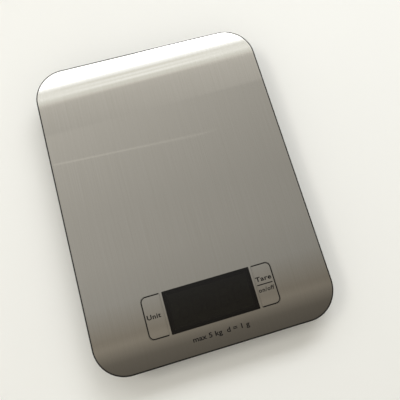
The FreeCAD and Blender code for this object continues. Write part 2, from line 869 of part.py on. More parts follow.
def make_load_sensor(corner, side_x, side_y):
    """Square of spring steel; a slot frees the tongue that the foot presses on."""
    x, y = FOOT_X * side_x, FOOT_Y * side_y
    body = new_body(f"load_sensor_{corner}")
    rounded_block(
        body, S["sensor_level"], S["sensor_side"], S["sensor_side"], S["sensor_thickness"],
        S["sensor_corner"], x=x, y=y,
    )
    slot, half_tongue = S["slot_width"], S["tongue_width"] / 2
    root, tip = S["tongue_root"], S["tongue_tip"]
    outer, inner = half_tongue + slot, half_tongue
    inward = -side_x
    corners = [
        (root, -outer), (-tip - slot, -outer), (-tip - slot, outer), (root, outer),
        (root, inner), (-tip, inner), (-tip, -inner), (root, -inner),
    ]
    sketch = new_sketch(body, S["sensor_level"])
    outline(sketch, [(along * inward + x, across + y) for along, across in corners])
    pocket(body, sketch, S["sensor_thickness"], upwards=True)
    bore = S["stem_radius"] + S["stem_clearance"]
    holes(body, S["sensor_level"], bore, S["sensor_thickness"], [(x, y)])
    screw_bore = S["retainer_screw_radius"] + S["screw_bore_gap"]
    screws = screws_of_foot(side_x, side_y)
    holes(body, S["sensor_level"], screw_bore, S["sensor_thickness"], screws)
    make_strain_gauge(corner, x, y, inward)
    make_sensor_retainer(corner, x, y, inward, screws)


def make_strain_gauge(corner, x, y, inward):
    """Film gauge glued to the tongue, between its root and the foot's stem."""
    body = new_body(f"strain_gauge_{corner}")
    gauge_x = x + S["gauge_offset"] * inward
    width, length = S["gauge_width"], S["gauge_length"]
    block(body, SENSOR_TOP, width, length, S["gauge_thickness"], gauge_x, y)


def make_sensor_retainer(corner, x, y, inward, screws):
    """Moulded ring that clamps the sensor's rim and lets its lead out towards the middle."""
    body = new_body(f"sensor_retainer_{corner}")
    rounded_block(
        body, SENSOR_TOP, S["sensor_side"], S["sensor_side"], S["retainer_height"],
        S["sensor_corner"], x=x, y=y,
    )
    holes(body, SENSOR_TOP, S["retainer_opening"], S["retainer_height"], [(x, y)])
    notch_x = x + S["lead_notch_offset"] * inward
    notch = (S["lead_radius"] + S["lead_notch_play"]) * 2
    cut_block(body, SENSOR_TOP, S["lead_notch_length"], notch, S["retainer_height"], notch_x, y)
    screw_bore = S["retainer_screw_radius"] + S["screw_bore_gap"]
    holes(body, SENSOR_TOP, screw_bore, S["retainer_height"], screws)


# ---------------------------------------------------------------- battery bay


def make_battery_door():
    """Door on the underside; its round front edge carries the two hinge pins."""
    body = new_body("battery_door")
    seat, gap = S["door_ledge"] * 2, S["door_gap"] * 2
    width, length = BAY_WIDTH + seat - gap, BAY_LENGTH + seat - gap
    straight = length - S["door_thickness"] / 2
    block(
        body, S["ground_gap"], width, straight, S["door_thickness"],
        y=S["bay_y"] + S["door_thickness"] / 4,
    )
    edge = new_sketch(body, ZERO, "YZ_Plane")
    circles(edge, S["door_thickness"] / 2, [(hinge_y(), HINGE_LEVEL)])
    pad(body, edge, width, both_ways=True)
    pins = new_sketch(body, ZERO, "YZ_Plane")
    circles(pins, S["hinge_pin_radius"], [(hinge_y(), HINGE_LEVEL)])
    pad(body, pins, width + S["hinge_pin_length"] * 2, both_ways=True)
    for row in range(GRIP_GROOVES):
        y = S["bay_y"] + S["grip_start"] - S["grip_step"] * row
        cut_block(body, S["ground_gap"], S["grip_width"], S["grip_groove"], S["grip_depth"], y=y)


def make_battery_door_latch():
    """Springy finger on the door's rear edge, with the nose that holds in the catch."""
    body = new_body("battery_door_latch")
    thickness = S["latch_thickness"]
    start = BAY_REAR - S["door_gap"]
    leg = start + S["latch_root_gap"]
    reach = start + S["latch_reach"]
    nose_tip = reach + S["latch_nose"]
    bottom = S["ground_gap"]
    root_top = bottom + S["latch_root_height"]
    crown = bottom + S["latch_height"]
    nose = bottom + S["latch_nose_level"]
    profile = [
        (start, bottom), (leg + thickness, bottom), (leg + thickness, crown - thickness),
        (reach - thickness, crown - thickness), (reach - thickness, bottom), (reach, bottom),
        (reach, nose), (nose_tip, nose), (nose_tip, nose + thickness / 2),
        (reach, nose + thickness), (reach, crown), (leg, crown), (leg, root_top), (start, root_top),
    ]
    sketch = new_sketch(body, ZERO, "YZ_Plane")
    outline(sketch, profile)
    pad(body, sketch, S["latch_width"], both_ways=True)


def make_cell(name, side):
    """One cylindrical cell lying along X, with its positive nub."""
    body = new_body(f"battery_cell_{name}")
    y = S["bay_y"] + CELL_SPACING * side
    start = -(S["cell_length"] + S["cell_nub_length"]) / 2
    can_start = start if side > 0 else start + S["cell_nub_length"]
    nub_start = start + S["cell_length"] if side > 0 else start
    can = new_sketch(body, can_start, "YZ_Plane")
    circles(can, S["cell_radius"], [(y, CELL_LEVEL)])
    pad(body, can, S["cell_length"])
    nub = new_sketch(body, nub_start, "YZ_Plane")
    circles(nub, S["cell_nub_radius"], [(y, CELL_LEVEL)])
    pad(body, nub, S["cell_nub_length"])


def contact_plate(body, end, y, length):
    """Flat stamped plate against one end wall of the bay; end is -1 or 1 along X."""
    sheet = S["contact_thickness"]
    x = (BAY_WIDTH / 2 - sheet / 2) * end
    block(body, CELL_LEVEL - S["contact_side"] / 2, sheet, length, S["contact_side"], x, y)


def contact_boss(body, end, y):
    """Raised round button that meets a cell's nub."""
    height = S["contact_space"] - S["contact_thickness"]
    face = BAY_WIDTH / 2 - S["contact_thickness"]
    level = face - height if end > 0 else -face
    sketch = new_sketch(body, level, "YZ_Plane")
    circles(sketch, S["cell_nub_radius"] + S["boss_rim"], [(y, CELL_LEVEL)])
    pad(body, sketch, height)


def contact_leaf(body, end, y):
    """Bent leaf that presses on a cell's flat end."""
    sheet = S["contact_thickness"]
    back = BAY_WIDTH / 2 - sheet
    tip = BAY_WIDTH / 2 - S["contact_space"]
    low, high = CELL_LEVEL - S["leaf_low"], CELL_LEVEL + S["leaf_high"]
    flat_low, flat_high = CELL_LEVEL - S["leaf_flat"], CELL_LEVEL + S["leaf_flat"]
    free = back - S["leaf_set_back"]
    profile = [
        (back, low), (tip, flat_low), (tip, flat_high), (free, high), (free + sheet, high),
        (tip + sheet, flat_high), (tip + sheet, flat_low), (back, low + sheet * 2),
    ]
    sketch = new_sketch(body, -y, "XZ_Plane")
    outline(sketch, [(x * end, z) for x, z in profile])
    pad(body, sketch, S["leaf_width"], both_ways=True)


def contact_tail(body, y):
    """Solder tail that passes out through the bay's end wall."""
    length = S["bay_wall"] + S["tail_reach"]
    x = -(BAY_WIDTH / 2 + length / 2)
    level = CELL_LEVEL + S["tail_level"]
    block(body, level, length, S["tail_width"], S["contact_thickness"], x, y)


def make_contacts():
    """The two end terminals and the plate that joins the cells in series."""
    front, rear = S["bay_y"] - CELL_SPACING, S["bay_y"] + CELL_SPACING
    positive = new_body("positive_contact")
    contact_plate(positive, -1, front, S["contact_side"])
    contact_boss(positive, -1, front)
    contact_tail(positive, front)
    negative = new_body("negative_contact")
    contact_plate(negative, -1, rear, S["contact_side"])
    contact_leaf(negative, -1, rear)
    contact_tail(negative, rear)
    bridge = new_body("bridge_contact")
    contact_plate(bridge, 1, S["bay_y"], CELL_SPACING * 2 + S["contact_side"])
    contact_boss(bridge, 1, rear)
    contact_leaf(bridge, 1, front)


# ---------------------------------------------------------------- screws and label


def make_screws(label, places, head_level, head_radius, head_height, shank_radius, shank_length):
    """A group of identical screws, heads down and slotted, as one node of separate solids."""
    body = new_body(label)
    cylinders(body, head_level, head_radius, head_height, places)
    cylinders(body, head_level + head_height, shank_radius, shank_length, places)
    slots = new_sketch(body, head_level)
    for x, y in places:
        rectangle(slots, head_radius * 1.3, head_radius * 0.3, x, y)
    pocket(body, slots, head_height / 3, upwards=True)


def make_all_screws():
    """Screws of the case, of the board and of the sensor retainers."""
    head_height = S["screw_head_height"]
    seat_level = S["ground_gap"] + S["screw_recess"]
    shank_length = S["pillar_top"] + S["screw_grip"] - seat_level
    make_screws(
        "cover_screws", cover_screw_places(), seat_level - head_height, S["screw_head_radius"],
        head_height, S["screw_radius"] - S["thread_play"], shank_length,
    )
    head_height = S["board_screw_head_height"]
    shank_length = S["board_thickness"] + S["board_screw_grip"]
    make_screws(
        "board_screws", board_post_places(), BOARD_BOTTOM - head_height, S["board_screw_head"],
        head_height, S["board_screw_radius"] - S["thread_play"], shank_length,
    )
    make_retainer_screws()


def make_retainer_screws():
    """Small screws that point down through retainer and sensor into the cover."""
    body = new_body("retainer_screws")
    places = retainer_screw_places()
    top = SENSOR_TOP + S["retainer_height"]
    tip = S["sensor_level"] - S["retainer_screw_depth"] + S["screw_bore_gap"]
    cylinders(body, tip, S["retainer_screw_radius"] - S["thread_play"], top - tip, places)
    cylinders(body, top, S["retainer_screw_head"], S["retainer_screw_head_height"], places)


def make_rating_label():
    """Thin blank label on the underside."""
    body = new_body("rating_label")
    level = S["ground_gap"] - S["label_thickness"]
    rounded_block(
        body, level, S["label_width"], S["label_length"], S["label_thickness"],
        S["label_corner"], y=S["label_y"],
    )


# ---------------------------------------------------------------- leads


def rounded_route(points):
    """Straight runs joined by tangent arcs, for a lead held inside the case, and the arcs' radii."""
    edges, radii = [], []
    start = points[0]
    for index in range(1, len(points) - 1):
        corner = points[index]
        before = (points[index - 1] - corner)
        after = (points[index + 1] - corner)
        shorter = min(before.Length, after.Length)
        before.normalize()
        after.normalize()
        cut = 0.45 * shorter
        middle_direction = (before + after).normalize()
        half_angle = before.getAngle(after) / 2
        radius = cut * math.tan(half_angle)
        radii.append(radius)
        to_centre = math.hypot(cut, radius)
        begin, end = corner + before * cut, corner + after * cut
        middle = corner + middle_direction * (to_centre - radius)
        if (begin - start).Length > 1e-6:
            edges.append(Part.LineSegment(start, begin).toShape())
        edges.append(Part.Arc(begin, middle, end).toShape())
        start = end
    edges.append(Part.LineSegment(start, points[-1]).toShape())
    return Part.Wire(edges), radii


def make_lead(label, points):
    """Round insulated lead along a rounded route."""
    route, radii = rounded_route([VECTOR(*[number(value) for value in point]) for point in points])
    first = route.Edges[0]
    direction = first.tangentAt(first.FirstParameter)
    radius = S["lead_radius"].value
    section = Part.Wire(Part.Circle(route.Vertexes[0].Point, direction, radius).toShape())
    shape = route.makePipeShell([section], True, False)
    expected = math.pi * radius**2 * route.Length
    if abs(shape.Volume - expected) > 0.01 * expected:
        raise RuntimeError(f"{label}: the pipe's volume isn't its section times its length")
    print(f"{label}: {route.Length:.1f} mm long, smallest bend {min(radii):.1f} mm")
    feature = DOC.addObject("Part::Feature", "Lead_" + label)
    feature.Label = label
    feature.Shape = shape
    SUB_PARTS.append(feature)


def make_sensor_leads():
    """Lead of each load sensor, from its gauge over the cover's floor up to the board."""
    level = SENSOR_TOP + S["lead_float"]
    for corner, (side_x, side_y) in CORNERS.items():
        start = ((FOOT_X - S["gauge_offset"]) * side_x, FOOT_Y * side_y, level)
        if side_y < 0:
            route = [(41.2, FOOT_Y * side_y, level), (41.2, FOOT_Y * side_y, BOARD_BOTTOM)]
        else:
            route = [
                (42.0, FOOT_Y, level),
                (41.0, FOOT_Y - 12.0, level),
                (42.5, 38.0, level),
                (42.0, -5.0, level),
                (36.0, BOARD_REAR + 3.0, level),
                (35.0, BOARD_REAR - 3.0, level),
                (35.0, BOARD_REAR - 3.0, BOARD_BOTTOM),
            ]
        points = [start] + [(x * side_x, y, z) for x, y, z in route]
        make_lead(f"sensor_lead_{corner}", points)


def make_battery_leads():
    """Red and black leads from the bay's terminals to the board."""
    tail_x = -(BAY_WIDTH / 2 + (S["bay_wall"] + S["tail_reach"]) - S["lead_radius"])
    level = BOARD_BOTTOM - S["lead_radius"] * 2
    for colour, side, lane in (("red", -1, -31.0), ("black", 1, -34.0)):
        y = S["bay_y"] + CELL_SPACING * side
        points = [
            (tail_x, y, CELL_LEVEL + S["tail_level"]),
            (tail_x, y, level),
            (lane, y - 4.0, level),
            (lane + 1.0, -8.0, level),
            (lane + 2.0, BOARD_REAR - 2.5, level),
            (lane + 2.0, BOARD_REAR - 2.5, BOARD_BOTTOM),
        ]
        make_lead(f"battery_lead_{colour}", points)


# ---------------------------------------------------------------- whole scale


def build_all():
    """Build every sub-part in the order in which the scale is put together."""
    make_platform_plate()
    make_plate_tape()
    make_top_tray()
    make_bottom_cover()
    make_display_lens()
    make_lcd_panel()
    make_lcd_frame()
    make_zebra_strips()
    make_key("unit", -1)
    make_key("tare", 1)
    make_main_board()
    make_controller_chip()
    make_board_parts()
    for corner, (side_x, side_y) in CORNERS.items():
        make_foot(corner, side_x, side_y)
        make_load_sensor(corner, side_x, side_y)
    make_battery_door()
    make_battery_door_latch()
    make_cell("front", -1)
    make_cell("rear", 1)
    make_contacts()
    make_all_screws()
    make_rating_label()
    make_sensor_leads()
    make_battery_leads()
    DOC.recompute()


def check_and_export():
    """Refuse any failed object or bad shape, then write one STEP file per sub-part."""
    for item in DOC.Objects:
        if "Invalid" in item.State or "Error" in item.State:
            raise RuntimeError(f"{item.Name} failed: {item.State}")
    for item in SUB_PARTS:
        if item.Shape.isNull() or not item.Shape.isValid():
            raise RuntimeError(f"{item.Label} has no valid shape")
    os.makedirs("parts", exist_ok=True)
    for item in SUB_PARTS:
        item.Shape.exportStep(f"parts/{item.Label}.step")
        print(f"{item.Label}: {len(item.Shape.Solids)} solid(s), {item.Shape.Volume:.1f} mm3")


build_all()
check_and_export()
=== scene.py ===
"""Looks of a digital gram scale: finishes, print, display, feet, floor, light and camera.

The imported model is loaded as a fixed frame. Everything here is in metres in that frame: +Z up,
+Y to the rear, the display end at -Y, the origin on the table under the middle of the scale.
"""

import logging
import math
from collections.abc import Iterable
from dataclasses import dataclass, field
from enum import Enum

import bmesh
import bpy
from bmesh.types import BMEdge, BMesh, BMVert
from bpy.types import Material, Mesh, Node, NodeSocket, NodeTree, Object
from mathutils import Matrix, Vector


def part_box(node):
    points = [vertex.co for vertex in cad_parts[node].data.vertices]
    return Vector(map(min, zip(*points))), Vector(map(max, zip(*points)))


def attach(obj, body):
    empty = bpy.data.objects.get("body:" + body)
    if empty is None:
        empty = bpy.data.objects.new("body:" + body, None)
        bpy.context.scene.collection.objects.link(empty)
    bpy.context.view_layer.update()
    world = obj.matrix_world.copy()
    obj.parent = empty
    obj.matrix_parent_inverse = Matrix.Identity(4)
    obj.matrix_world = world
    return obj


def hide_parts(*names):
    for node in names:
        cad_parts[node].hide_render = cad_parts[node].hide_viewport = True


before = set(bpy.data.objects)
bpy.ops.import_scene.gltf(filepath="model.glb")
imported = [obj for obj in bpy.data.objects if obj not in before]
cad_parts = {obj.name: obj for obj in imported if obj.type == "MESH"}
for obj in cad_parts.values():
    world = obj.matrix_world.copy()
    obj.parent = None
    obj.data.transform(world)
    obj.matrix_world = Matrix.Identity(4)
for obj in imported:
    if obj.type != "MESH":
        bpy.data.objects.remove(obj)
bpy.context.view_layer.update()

LOG = logging.getLogger("gram_scale")
MM = 0.001
HOUSING = "housing"
CORNERS = ("front_left", "front_right", "rear_left", "rear_right")

# How far screen-printed ink stands proud, how far it is sunk so that no light shows under it,
# and its whole depth.
INK_RISE = 0.012 * MM
INK_SUNK = 0.006 * MM
INK_DEPTH = INK_SUNK + INK_RISE

# Vertices closer than this are one, in metres, and the same for type of size 1.
WELD = 1e-7
TYPE_WELD = 1e-5

# Samples of the rounded-edge shading.
EDGE_SAMPLES = 4


class Side(Enum):
    """The two sides of the display that a key can be on."""

    LEFT = "unit"
    RIGHT = "tare"

    @property
    def sign(self) -> int:
        """Direction of the side along X."""
        return -1 if self is Side.LEFT else 1


class Stroke(Enum):
    """How heavily a word is drawn: the widening of its outline, as a share of the type size."""

    REGULAR = 0.020
    BOLD = 0.026


# ---- shader helpers


def linear(code: str) -> tuple[float, float, float, float]:
    """Turns an sRGB hex colour to linear light.

    Args:
        code: Six hex digits, such as "c8c4bb".

    Returns:
        Linear red, green, blue and an alpha of 1.
    """
    channels = [int(code[start:start + 2], 16) / 255 for start in (0, 2, 4)]
    curve = [c / 12.92 if c <= 0.04045 else ((c + 0.055) / 1.055) ** 2.4 for c in channels]
    return (*curve, 1.0)


def add_node(
    tree: NodeTree,
    kind: str,
    settings: dict | None = None,
    links: dict | None = None,
) -> Node:
    """Adds one shader node with its settings and links.

    Args:
        tree: The node tree of a material or of the world.
        kind: The node's type, without its ShaderNode prefix.
        settings: Values by property or input name, or by input index. "stops" gives a colour
            ramp's places and colours.
        links: Output sockets by the name or index of the input that they feed.

    Returns:
        The new node.
    """
    node = tree.nodes.new("ShaderNode" + kind)
    for name, value in (settings or {}).items():
        if name == "stops":
            elements = node.color_ramp.elements
            while len(elements) < len(value):
                elements.new(1.0)
            for element, (place, colour) in zip(elements, value):
                element.position = place
                element.color = colour
        elif isinstance(name, str) and hasattr(node, name):
            setattr(node, name, value)
        else:
            node.inputs[name].default_value = value
    for name, socket in (links or {}).items():
        tree.links.new(socket, node.inputs[name])
    return node


def new_material(name: str) -> tuple[Material, NodeTree, NodeSocket]:
    """Makes an empty node material.

    Args:
        name: The finish's name.

    Returns:
        The material, its node tree and the Object coordinates in it.
    """
    material = bpy.data.materials.new(name)
    material.use_nodes = True
    tree = material.node_tree
    tree.nodes.clear()
    return material, tree, add_node(tree, "TexCoord").outputs["Object"]


def finish_material(material: Material, shader: Node) -> Material:
    """Joins a shader to a material's surface output.

    Args:
        material: The material.
        shader: The last shader node.

    Returns:
        The material, complete.
    """
    add_node(material.node_tree, "OutputMaterial", {}, {"Surface": shader.outputs[0]})
    return material


def coat(
    material: Material,
    drift: Node,
    tones: dict[float, str],
    grain: Node,
    roughness: tuple[float, float],
    settings: dict | None = None,
    links: dict | None = None,
) -> Material:
    """Completes a material whose tone and gloss each follow a pattern.

    Args:
        material: The material.
        drift: The pattern of the tone.
        tones: Hex colours by the pattern's value.
        grain: The pattern of the gloss.
        roughness: Its middle, and its swing to either side.
        settings: Further settings of the surface shader.
        links: Further links of the surface shader.

    Returns:
        The material, complete.
    """
    tree, (middle, swing) = material.node_tree, roughness
    stops = [(value, linear(code)) for value, code in tones.items()]
    tint = add_node(tree, "ValToRGB", {"stops": stops}, {"Fac": drift.outputs["Fac"]})
    gloss = add_node(
        tree, "MapRange", {"To Min": middle - swing, "To Max": middle + swing},
        {"Value": grain.outputs["Fac"]},
    )
    base = {"Base Color": tint.outputs["Color"], "Roughness": gloss.outputs["Result"]}
    shader = add_node(tree, "BsdfPrincipled", settings, {**base, **(links or {})})
    return finish_material(material, shader)


# ---- finishes


@dataclass(frozen=True)
class Finish:
    """Any finish: its name, and a method that makes it."""

    name: str

    def make(self) -> Material:
        """Builds the material, in each kind of finish."""
        raise NotImplementedError


@dataclass(frozen=True)
class BrushedStainless(Finish):
    """Stainless steel sheet with a fine brushed grain along Y, as on a weighing platform.

    The grain spreads a highlight across itself and leaves it sharp along itself, so a window
    behind the scale is a crisp bright band with soft ends.
    """

    name: str = "brushed_stainless"
    colour: str = "c9c8c2"
    light_streak: str = "cccbc6"
    dark_streak: str = "c5c4bd"
    roughness: float = 0.04
    roughness_swing: float = 0.008
    # Real brush marks are finer. These are as coarse as they need to be to show.
    streak_width_mm: float = 0.18
    streak_length_mm: float = 45.0
    cloud_mm: float = 55.0
    relief_mm: float = 0.010

    def make(self) -> Material:
        """Builds the material.

        Returns:
            The finish as a node material.
        """
        material, tree, place = new_material(self.name)
        across, along = 1 / (self.streak_width_mm * MM), 1 / (self.streak_length_mm * MM)
        stretched = add_node(tree, "Mapping", {"Scale": (across, along, across)}, {"Vector": place})
        streaks = add_node(
            tree, "TexNoise", {"Scale": 1.0, "Detail": 3.0, "Roughness": 0.55},
            {"Vector": stretched.outputs["Vector"]},
        )
        clouds = add_node(
            tree, "TexNoise", {"Scale": 1 / (self.cloud_mm * MM), "Detail": 2.0}, {"Vector": place}
        )
        relief = add_node(
            tree, "Bump", {"Strength": 1.0, "Distance": self.relief_mm * MM},
            {"Height": streaks.outputs["Fac"]},
        )
        # The wide side of the highlight lies along X, across the grain.
        grain = add_node(tree, "CombineXYZ", {"X": 1.0, "Y": 0.0, "Z": 0.0})
        return coat(
            material, streaks,
            {0.30: self.dark_streak, 0.50: self.colour, 0.70: self.light_streak},
            clouds, (self.roughness, self.roughness_swing),
            {"Metallic": 1.0, "Anisotropic": 1.0},
            {"Normal": relief.outputs["Normal"], "Tangent": grain.outputs["Vector"]},
        )


@dataclass(frozen=True)
class Moulded(Finish):
    """A moulded plastic or rubber: even colour, spark-eroded grain and softened edges.

    The grain breaks the gloss up into a soft sheen, and the rounded edges catch a thin light
    line, as moulded edges do.
    """

    colour: str
    fleck: str
    roughness: float
    grain_mm: float = 0.35
    relief_mm: float = 0.006
    edge_mm: float = 0.15
    ior: float = 1.53
    specular: float = 0.5
    roughness_swing: float = 0.05
    # Size of the patches that drift between the two tones, in grains.
    patch_grains: float = 60.0

    def make(self) -> Material:
        """Builds the material.

        Returns:
            The finish as a node material.
        """
        material, tree, place = new_material(self.name)
        grain, patches = (
            add_node(
                tree, "TexNoise", {"Scale": 1 / (size * MM), "Detail": detail}, {"Vector": place}
            )
            for size, detail in ((self.grain_mm, 2.0), (self.patch_grains * self.grain_mm, 4.0))
        )
        edges = add_node(tree, "Bevel", {"samples": EDGE_SAMPLES, "Radius": self.edge_mm * MM})
        relief = add_node(
            tree, "Bump", {"Strength": 1.0, "Distance": self.relief_mm * MM},
            {"Height": grain.outputs["Fac"], "Normal": edges.outputs["Normal"]},
        )
        return coat(
            material, patches, {0.35: self.colour, 0.75: self.fleck},
            grain, (self.roughness, self.roughness_swing),
            {"IOR": self.ior, "Specular IOR Level": self.specular},
            {"Normal": relief.outputs["Normal"]},
        )


@dataclass(frozen=True)
class PlatedMetal(Finish):
    """Rolled, plated or drawn metal with a faint mottle, as on contacts, screws and springs."""

    colour: str
    mottle: str
    roughness: float
    mottle_mm: float = 1.2
    edge_mm: float = 0.06
    roughness_swing: float = 0.06

    def make(self) -> Material:
        """Builds the material.

        Returns:
            The finish as a node material.
        """
        material, tree, place = new_material(self.name)
        spots = add_node(
            tree, "TexNoise", {"Scale": 1 / (self.mottle_mm * MM), "Detail": 3.0},
            {"Vector": place},
        )
        edges = add_node(tree, "Bevel", {"samples": EDGE_SAMPLES, "Radius": self.edge_mm * MM})
        return coat(
            material, spots, {0.35: self.colour, 0.70: self.mottle},
            spots, (self.roughness, self.roughness_swing),
            {"Metallic": 1.0}, {"Normal": edges.outputs["Normal"]},
        )


@dataclass(frozen=True)
class TintedAcrylic(Finish):
    """Smoked PMMA window: nearly black, polished, with a hint of the display beneath it."""

    name: str = "smoked_acrylic"
    tint: str = "6b6a63"
    roughness: float = 0.03
    ior: float = 1.49
    # Handling leaves a very faint haze, in patches about a fingertip across.
    haze_mm: float = 14.0
    haze_roughness: float = 0.05

    def make(self) -> Material:
        """Builds the material.

        Returns:
            The finish as a node material.
        """
        material, tree, place = new_material(self.name)
        haze = add_node(
            tree, "TexNoise", {"Scale": 1 / (self.haze_mm * MM), "Detail": 3.0}, {"Vector": place}
        )
        gloss = add_node(
            tree, "MapRange",
            {"To Min": self.roughness, "To Max": self.roughness + self.haze_roughness},
            {"Value": haze.outputs["Fac"]},
        )
        shader = add_node(
            tree, "BsdfPrincipled",
            {"Base Color": linear(self.tint), "IOR": self.ior, "Transmission Weight": 1.0},
            {"Roughness": gloss.outputs["Result"]},
        )
        return finish_material(material, shader)


@dataclass(frozen=True)
class CoatedBoard(Finish):
    """Glass-epoxy circuit board under green solder mask, with tracks showing as paler lines."""

    name: str = "solder_mask_board"
    mask: str = "1d5a35"
    track: str = "2f7a4a"
    track_pitch_mm: float = 1.27
    # Width of a track and the length of its straight runs, in pitches.
    track_width: float = 0.2
    track_run: float = 9.0
    roughness: float = 0.28
    ior: float = 1.52

    def make(self) -> Material:
        """Builds the material.

        Returns:
            The finish as a node material.
        """
        material, tree, place = new_material(self.name)
        pitch = self.track_pitch_mm * MM
        bricks = add_node(
            tree, "TexBrick",
            {
                "Scale": 1.0,
                "Color1": linear(self.mask),
                "Color2": linear(self.mask),
                "Mortar": linear(self.track),
                "Mortar Size": self.track_width * pitch,
                "Brick Width": self.track_run * pitch,
                "Row Height": pitch,
            },
            {"Vector": place},
        )
        shader = add_node(
            tree, "BsdfPrincipled", {"Roughness": self.roughness, "IOR": self.ior},
            {"Base Color": bricks.outputs["Color"]},
        )
        return finish_material(material, shader)


@dataclass(frozen=True)
class CellSleeve(Finish):
    """Printed shrink sleeve of a dry cell: black with one copper-coloured end, glossy."""

    name: str = "printed_cell_sleeve"
    body: str = "1b1b1d"
    band: str = "a86a3c"
    band_start_mm: float = 9.0
    crease_mm: float = 3.0
    crease_depth_mm: float = 0.02
    roughness: float = 0.25
    ior: float = 1.54

    def make(self) -> Material:
        """Builds the material.

        Returns:
            The finish as a node material.
        """
        material, tree, place = new_material(self.name)
        along = add_node(tree, "SeparateXYZ", {}, {"Vector": place}).outputs["X"]
        past = add_node(
            tree, "Math", {"operation": "GREATER_THAN", 1: self.band_start_mm * MM}, {0: along}
        )
        tint = add_node(
            tree, "Mix", {"data_type": "RGBA", 6: linear(self.body), 7: linear(self.band)},
            {0: past.outputs[0]},
        )
        creases = add_node(
            tree, "TexNoise", {"Scale": 1 / (self.crease_mm * MM), "Detail": 2.0},
            {"Vector": place},
        )
        relief = add_node(
            tree, "Bump", {"Strength": 1.0, "Distance": self.crease_depth_mm * MM},
            {"Height": creases.outputs["Fac"]},
        )
        shader = add_node(
            tree, "BsdfPrincipled", {"Roughness": self.roughness, "IOR": self.ior},
            {"Base Color": tint.outputs[2], "Normal": relief.outputs["Normal"]},
        )
        return finish_material(material, shader)


@dataclass(frozen=True)
class Glow(Finish):
    """A light-giving surface that ramps along one axis and may lean and fade out along X."""

    axis: str
    # Places along the axis in mm, each with its radiance and hex colour.
    stops: tuple[tuple[float, float, str], ...]
    # Relative change of the radiance for every metre along X.
    lean: float = 0.0
    # Distances from the middle along X between which the radiance falls to the rim's share. The
    # default lies beyond every card.
    fade_mm: tuple[float, float] = (9000.0, 9999.0)
    rim_share: float = 0.4

    def make(self) -> Material:
        """Builds the material.

        Returns:
            The finish as a node material.
        """
        material, tree, place = new_material(self.name)
        parts = add_node(tree, "SeparateXYZ", {}, {"Vector": place}).outputs
        low, high = self.stops[0][0], self.stops[-1][0]
        span = add_node(
            tree, "MapRange", {"From Min": low * MM, "From Max": high * MM},
            {"Value": parts[self.axis]},
        )
        peak = max(level for _, level, _ in self.stops)
        places = [
            ((at - low) / (high - low), tuple(c * level / peak for c in linear(tone)[:3]) + (1.0,))
            for at, level, tone in self.stops
        ]
        ramp = add_node(tree, "ValToRGB", {"stops": places}, {"Fac": span.outputs["Result"]})
        leaning = add_node(
            tree, "Math", {"operation": "MULTIPLY_ADD", 1: peak * self.lean, 2: peak},
            {0: parts["X"]},
        )
        aside = add_node(tree, "Math", {"operation": "ABSOLUTE"}, {0: parts["X"]})
        inner, outer = self.fade_mm
        share = add_node(
            tree, "MapRange",
            {
                "interpolation_type": "SMOOTHSTEP",
                "From Min": inner * MM, "From Max": outer * MM,
                "To Min": 1.0, "To Max": self.rim_share,
            },
            {"Value": aside.outputs[0]},
        )
        level = add_node(
            tree, "Math", {"operation": "MULTIPLY"},
            {0: leaning.outputs[0], 1: share.outputs["Result"]},
        )
        shader = add_node(
            tree, "Emission", {}, {"Color": ramp.outputs["Color"], "Strength": level.outputs[0]}
        )
        return finish_material(material, shader)


# ---- mesh helpers


def node_box(node: str) -> tuple[Vector, Vector]:
    """Lowest and highest corner of a CAD node, as vectors."""
    low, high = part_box(node)
    return Vector(low), Vector(high)


def dress(nodes: Iterable[str], material: Material) -> None:
    """Gives CAD nodes a finish through their material slots.

    Args:
        nodes: Names of CAD nodes.
        material: The finish.
    """
    for name in nodes:
        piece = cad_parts[name]
        if piece.material_slots:
            piece.material_slots[0].material = material
        else:
            piece.data.materials.append(material)
        LOG.info("dressed %s in %s", name, material.name)


def place_piece(
    mesh: Mesh,
    name: str,
    material: Material,
    body: str,
    smooth_degrees: float = 0.0,
) -> Object:
    """Makes a finished piece of a mesh that already lies where it belongs.

    Args:
        mesh: The mesh, with its place in its vertices.
        name: The piece's name.
        material: Its finish.
        body: The CAD body that it rides on.
        smooth_degrees: Edges that turn less than this are shaded smooth.

    Returns:
        The new object.
    """
    mesh.name = name
    mesh.materials.clear()
    mesh.materials.append(material)
    if smooth_degrees:
        mesh.shade_smooth()
        mesh.set_sharp_from_angle(angle=math.radians(smooth_degrees))
    piece = bpy.data.objects.new(name, mesh)
    bpy.context.scene.collection.objects.link(piece)
    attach(piece, body)
    LOG.info("made %s, %d faces, on %s", name, len(mesh.polygons), body)
    return piece


def mesh_of(shape: BMesh, shift: tuple[float, float, float] = (0.0, 0.0, 0.0)) -> Mesh:
    """Turns a finished bmesh into a mesh, with its faces pointing outwards.

    Args:
        shape: The bmesh, which is freed.
        shift: How far it is moved to its place.

    Returns:
        A new mesh.
    """
    bmesh.ops.translate(shape, verts=shape.verts, vec=shift)
    bmesh.ops.remove_doubles(shape, verts=shape.verts, dist=WELD)
    bmesh.ops.recalc_face_normals(shape, faces=shape.faces)
    mesh = bpy.data.meshes.new("shape")
    shape.to_mesh(mesh)
    shape.free()
    return mesh


def thicken_up(shape: BMesh, rise: float) -> None:
    """Gives flat faces a thickness along +Z.

    Args:
        shape: The bmesh whose faces all lie flat.
        rise: The thickness.
    """
    raised = bmesh.ops.extrude_face_region(shape, geom=list(shape.faces), use_keep_orig=True)
    moved = [item for item in raised["geom"] if isinstance(item, BMVert)]
    bmesh.ops.translate(shape, verts=moved, vec=(0, 0, rise))


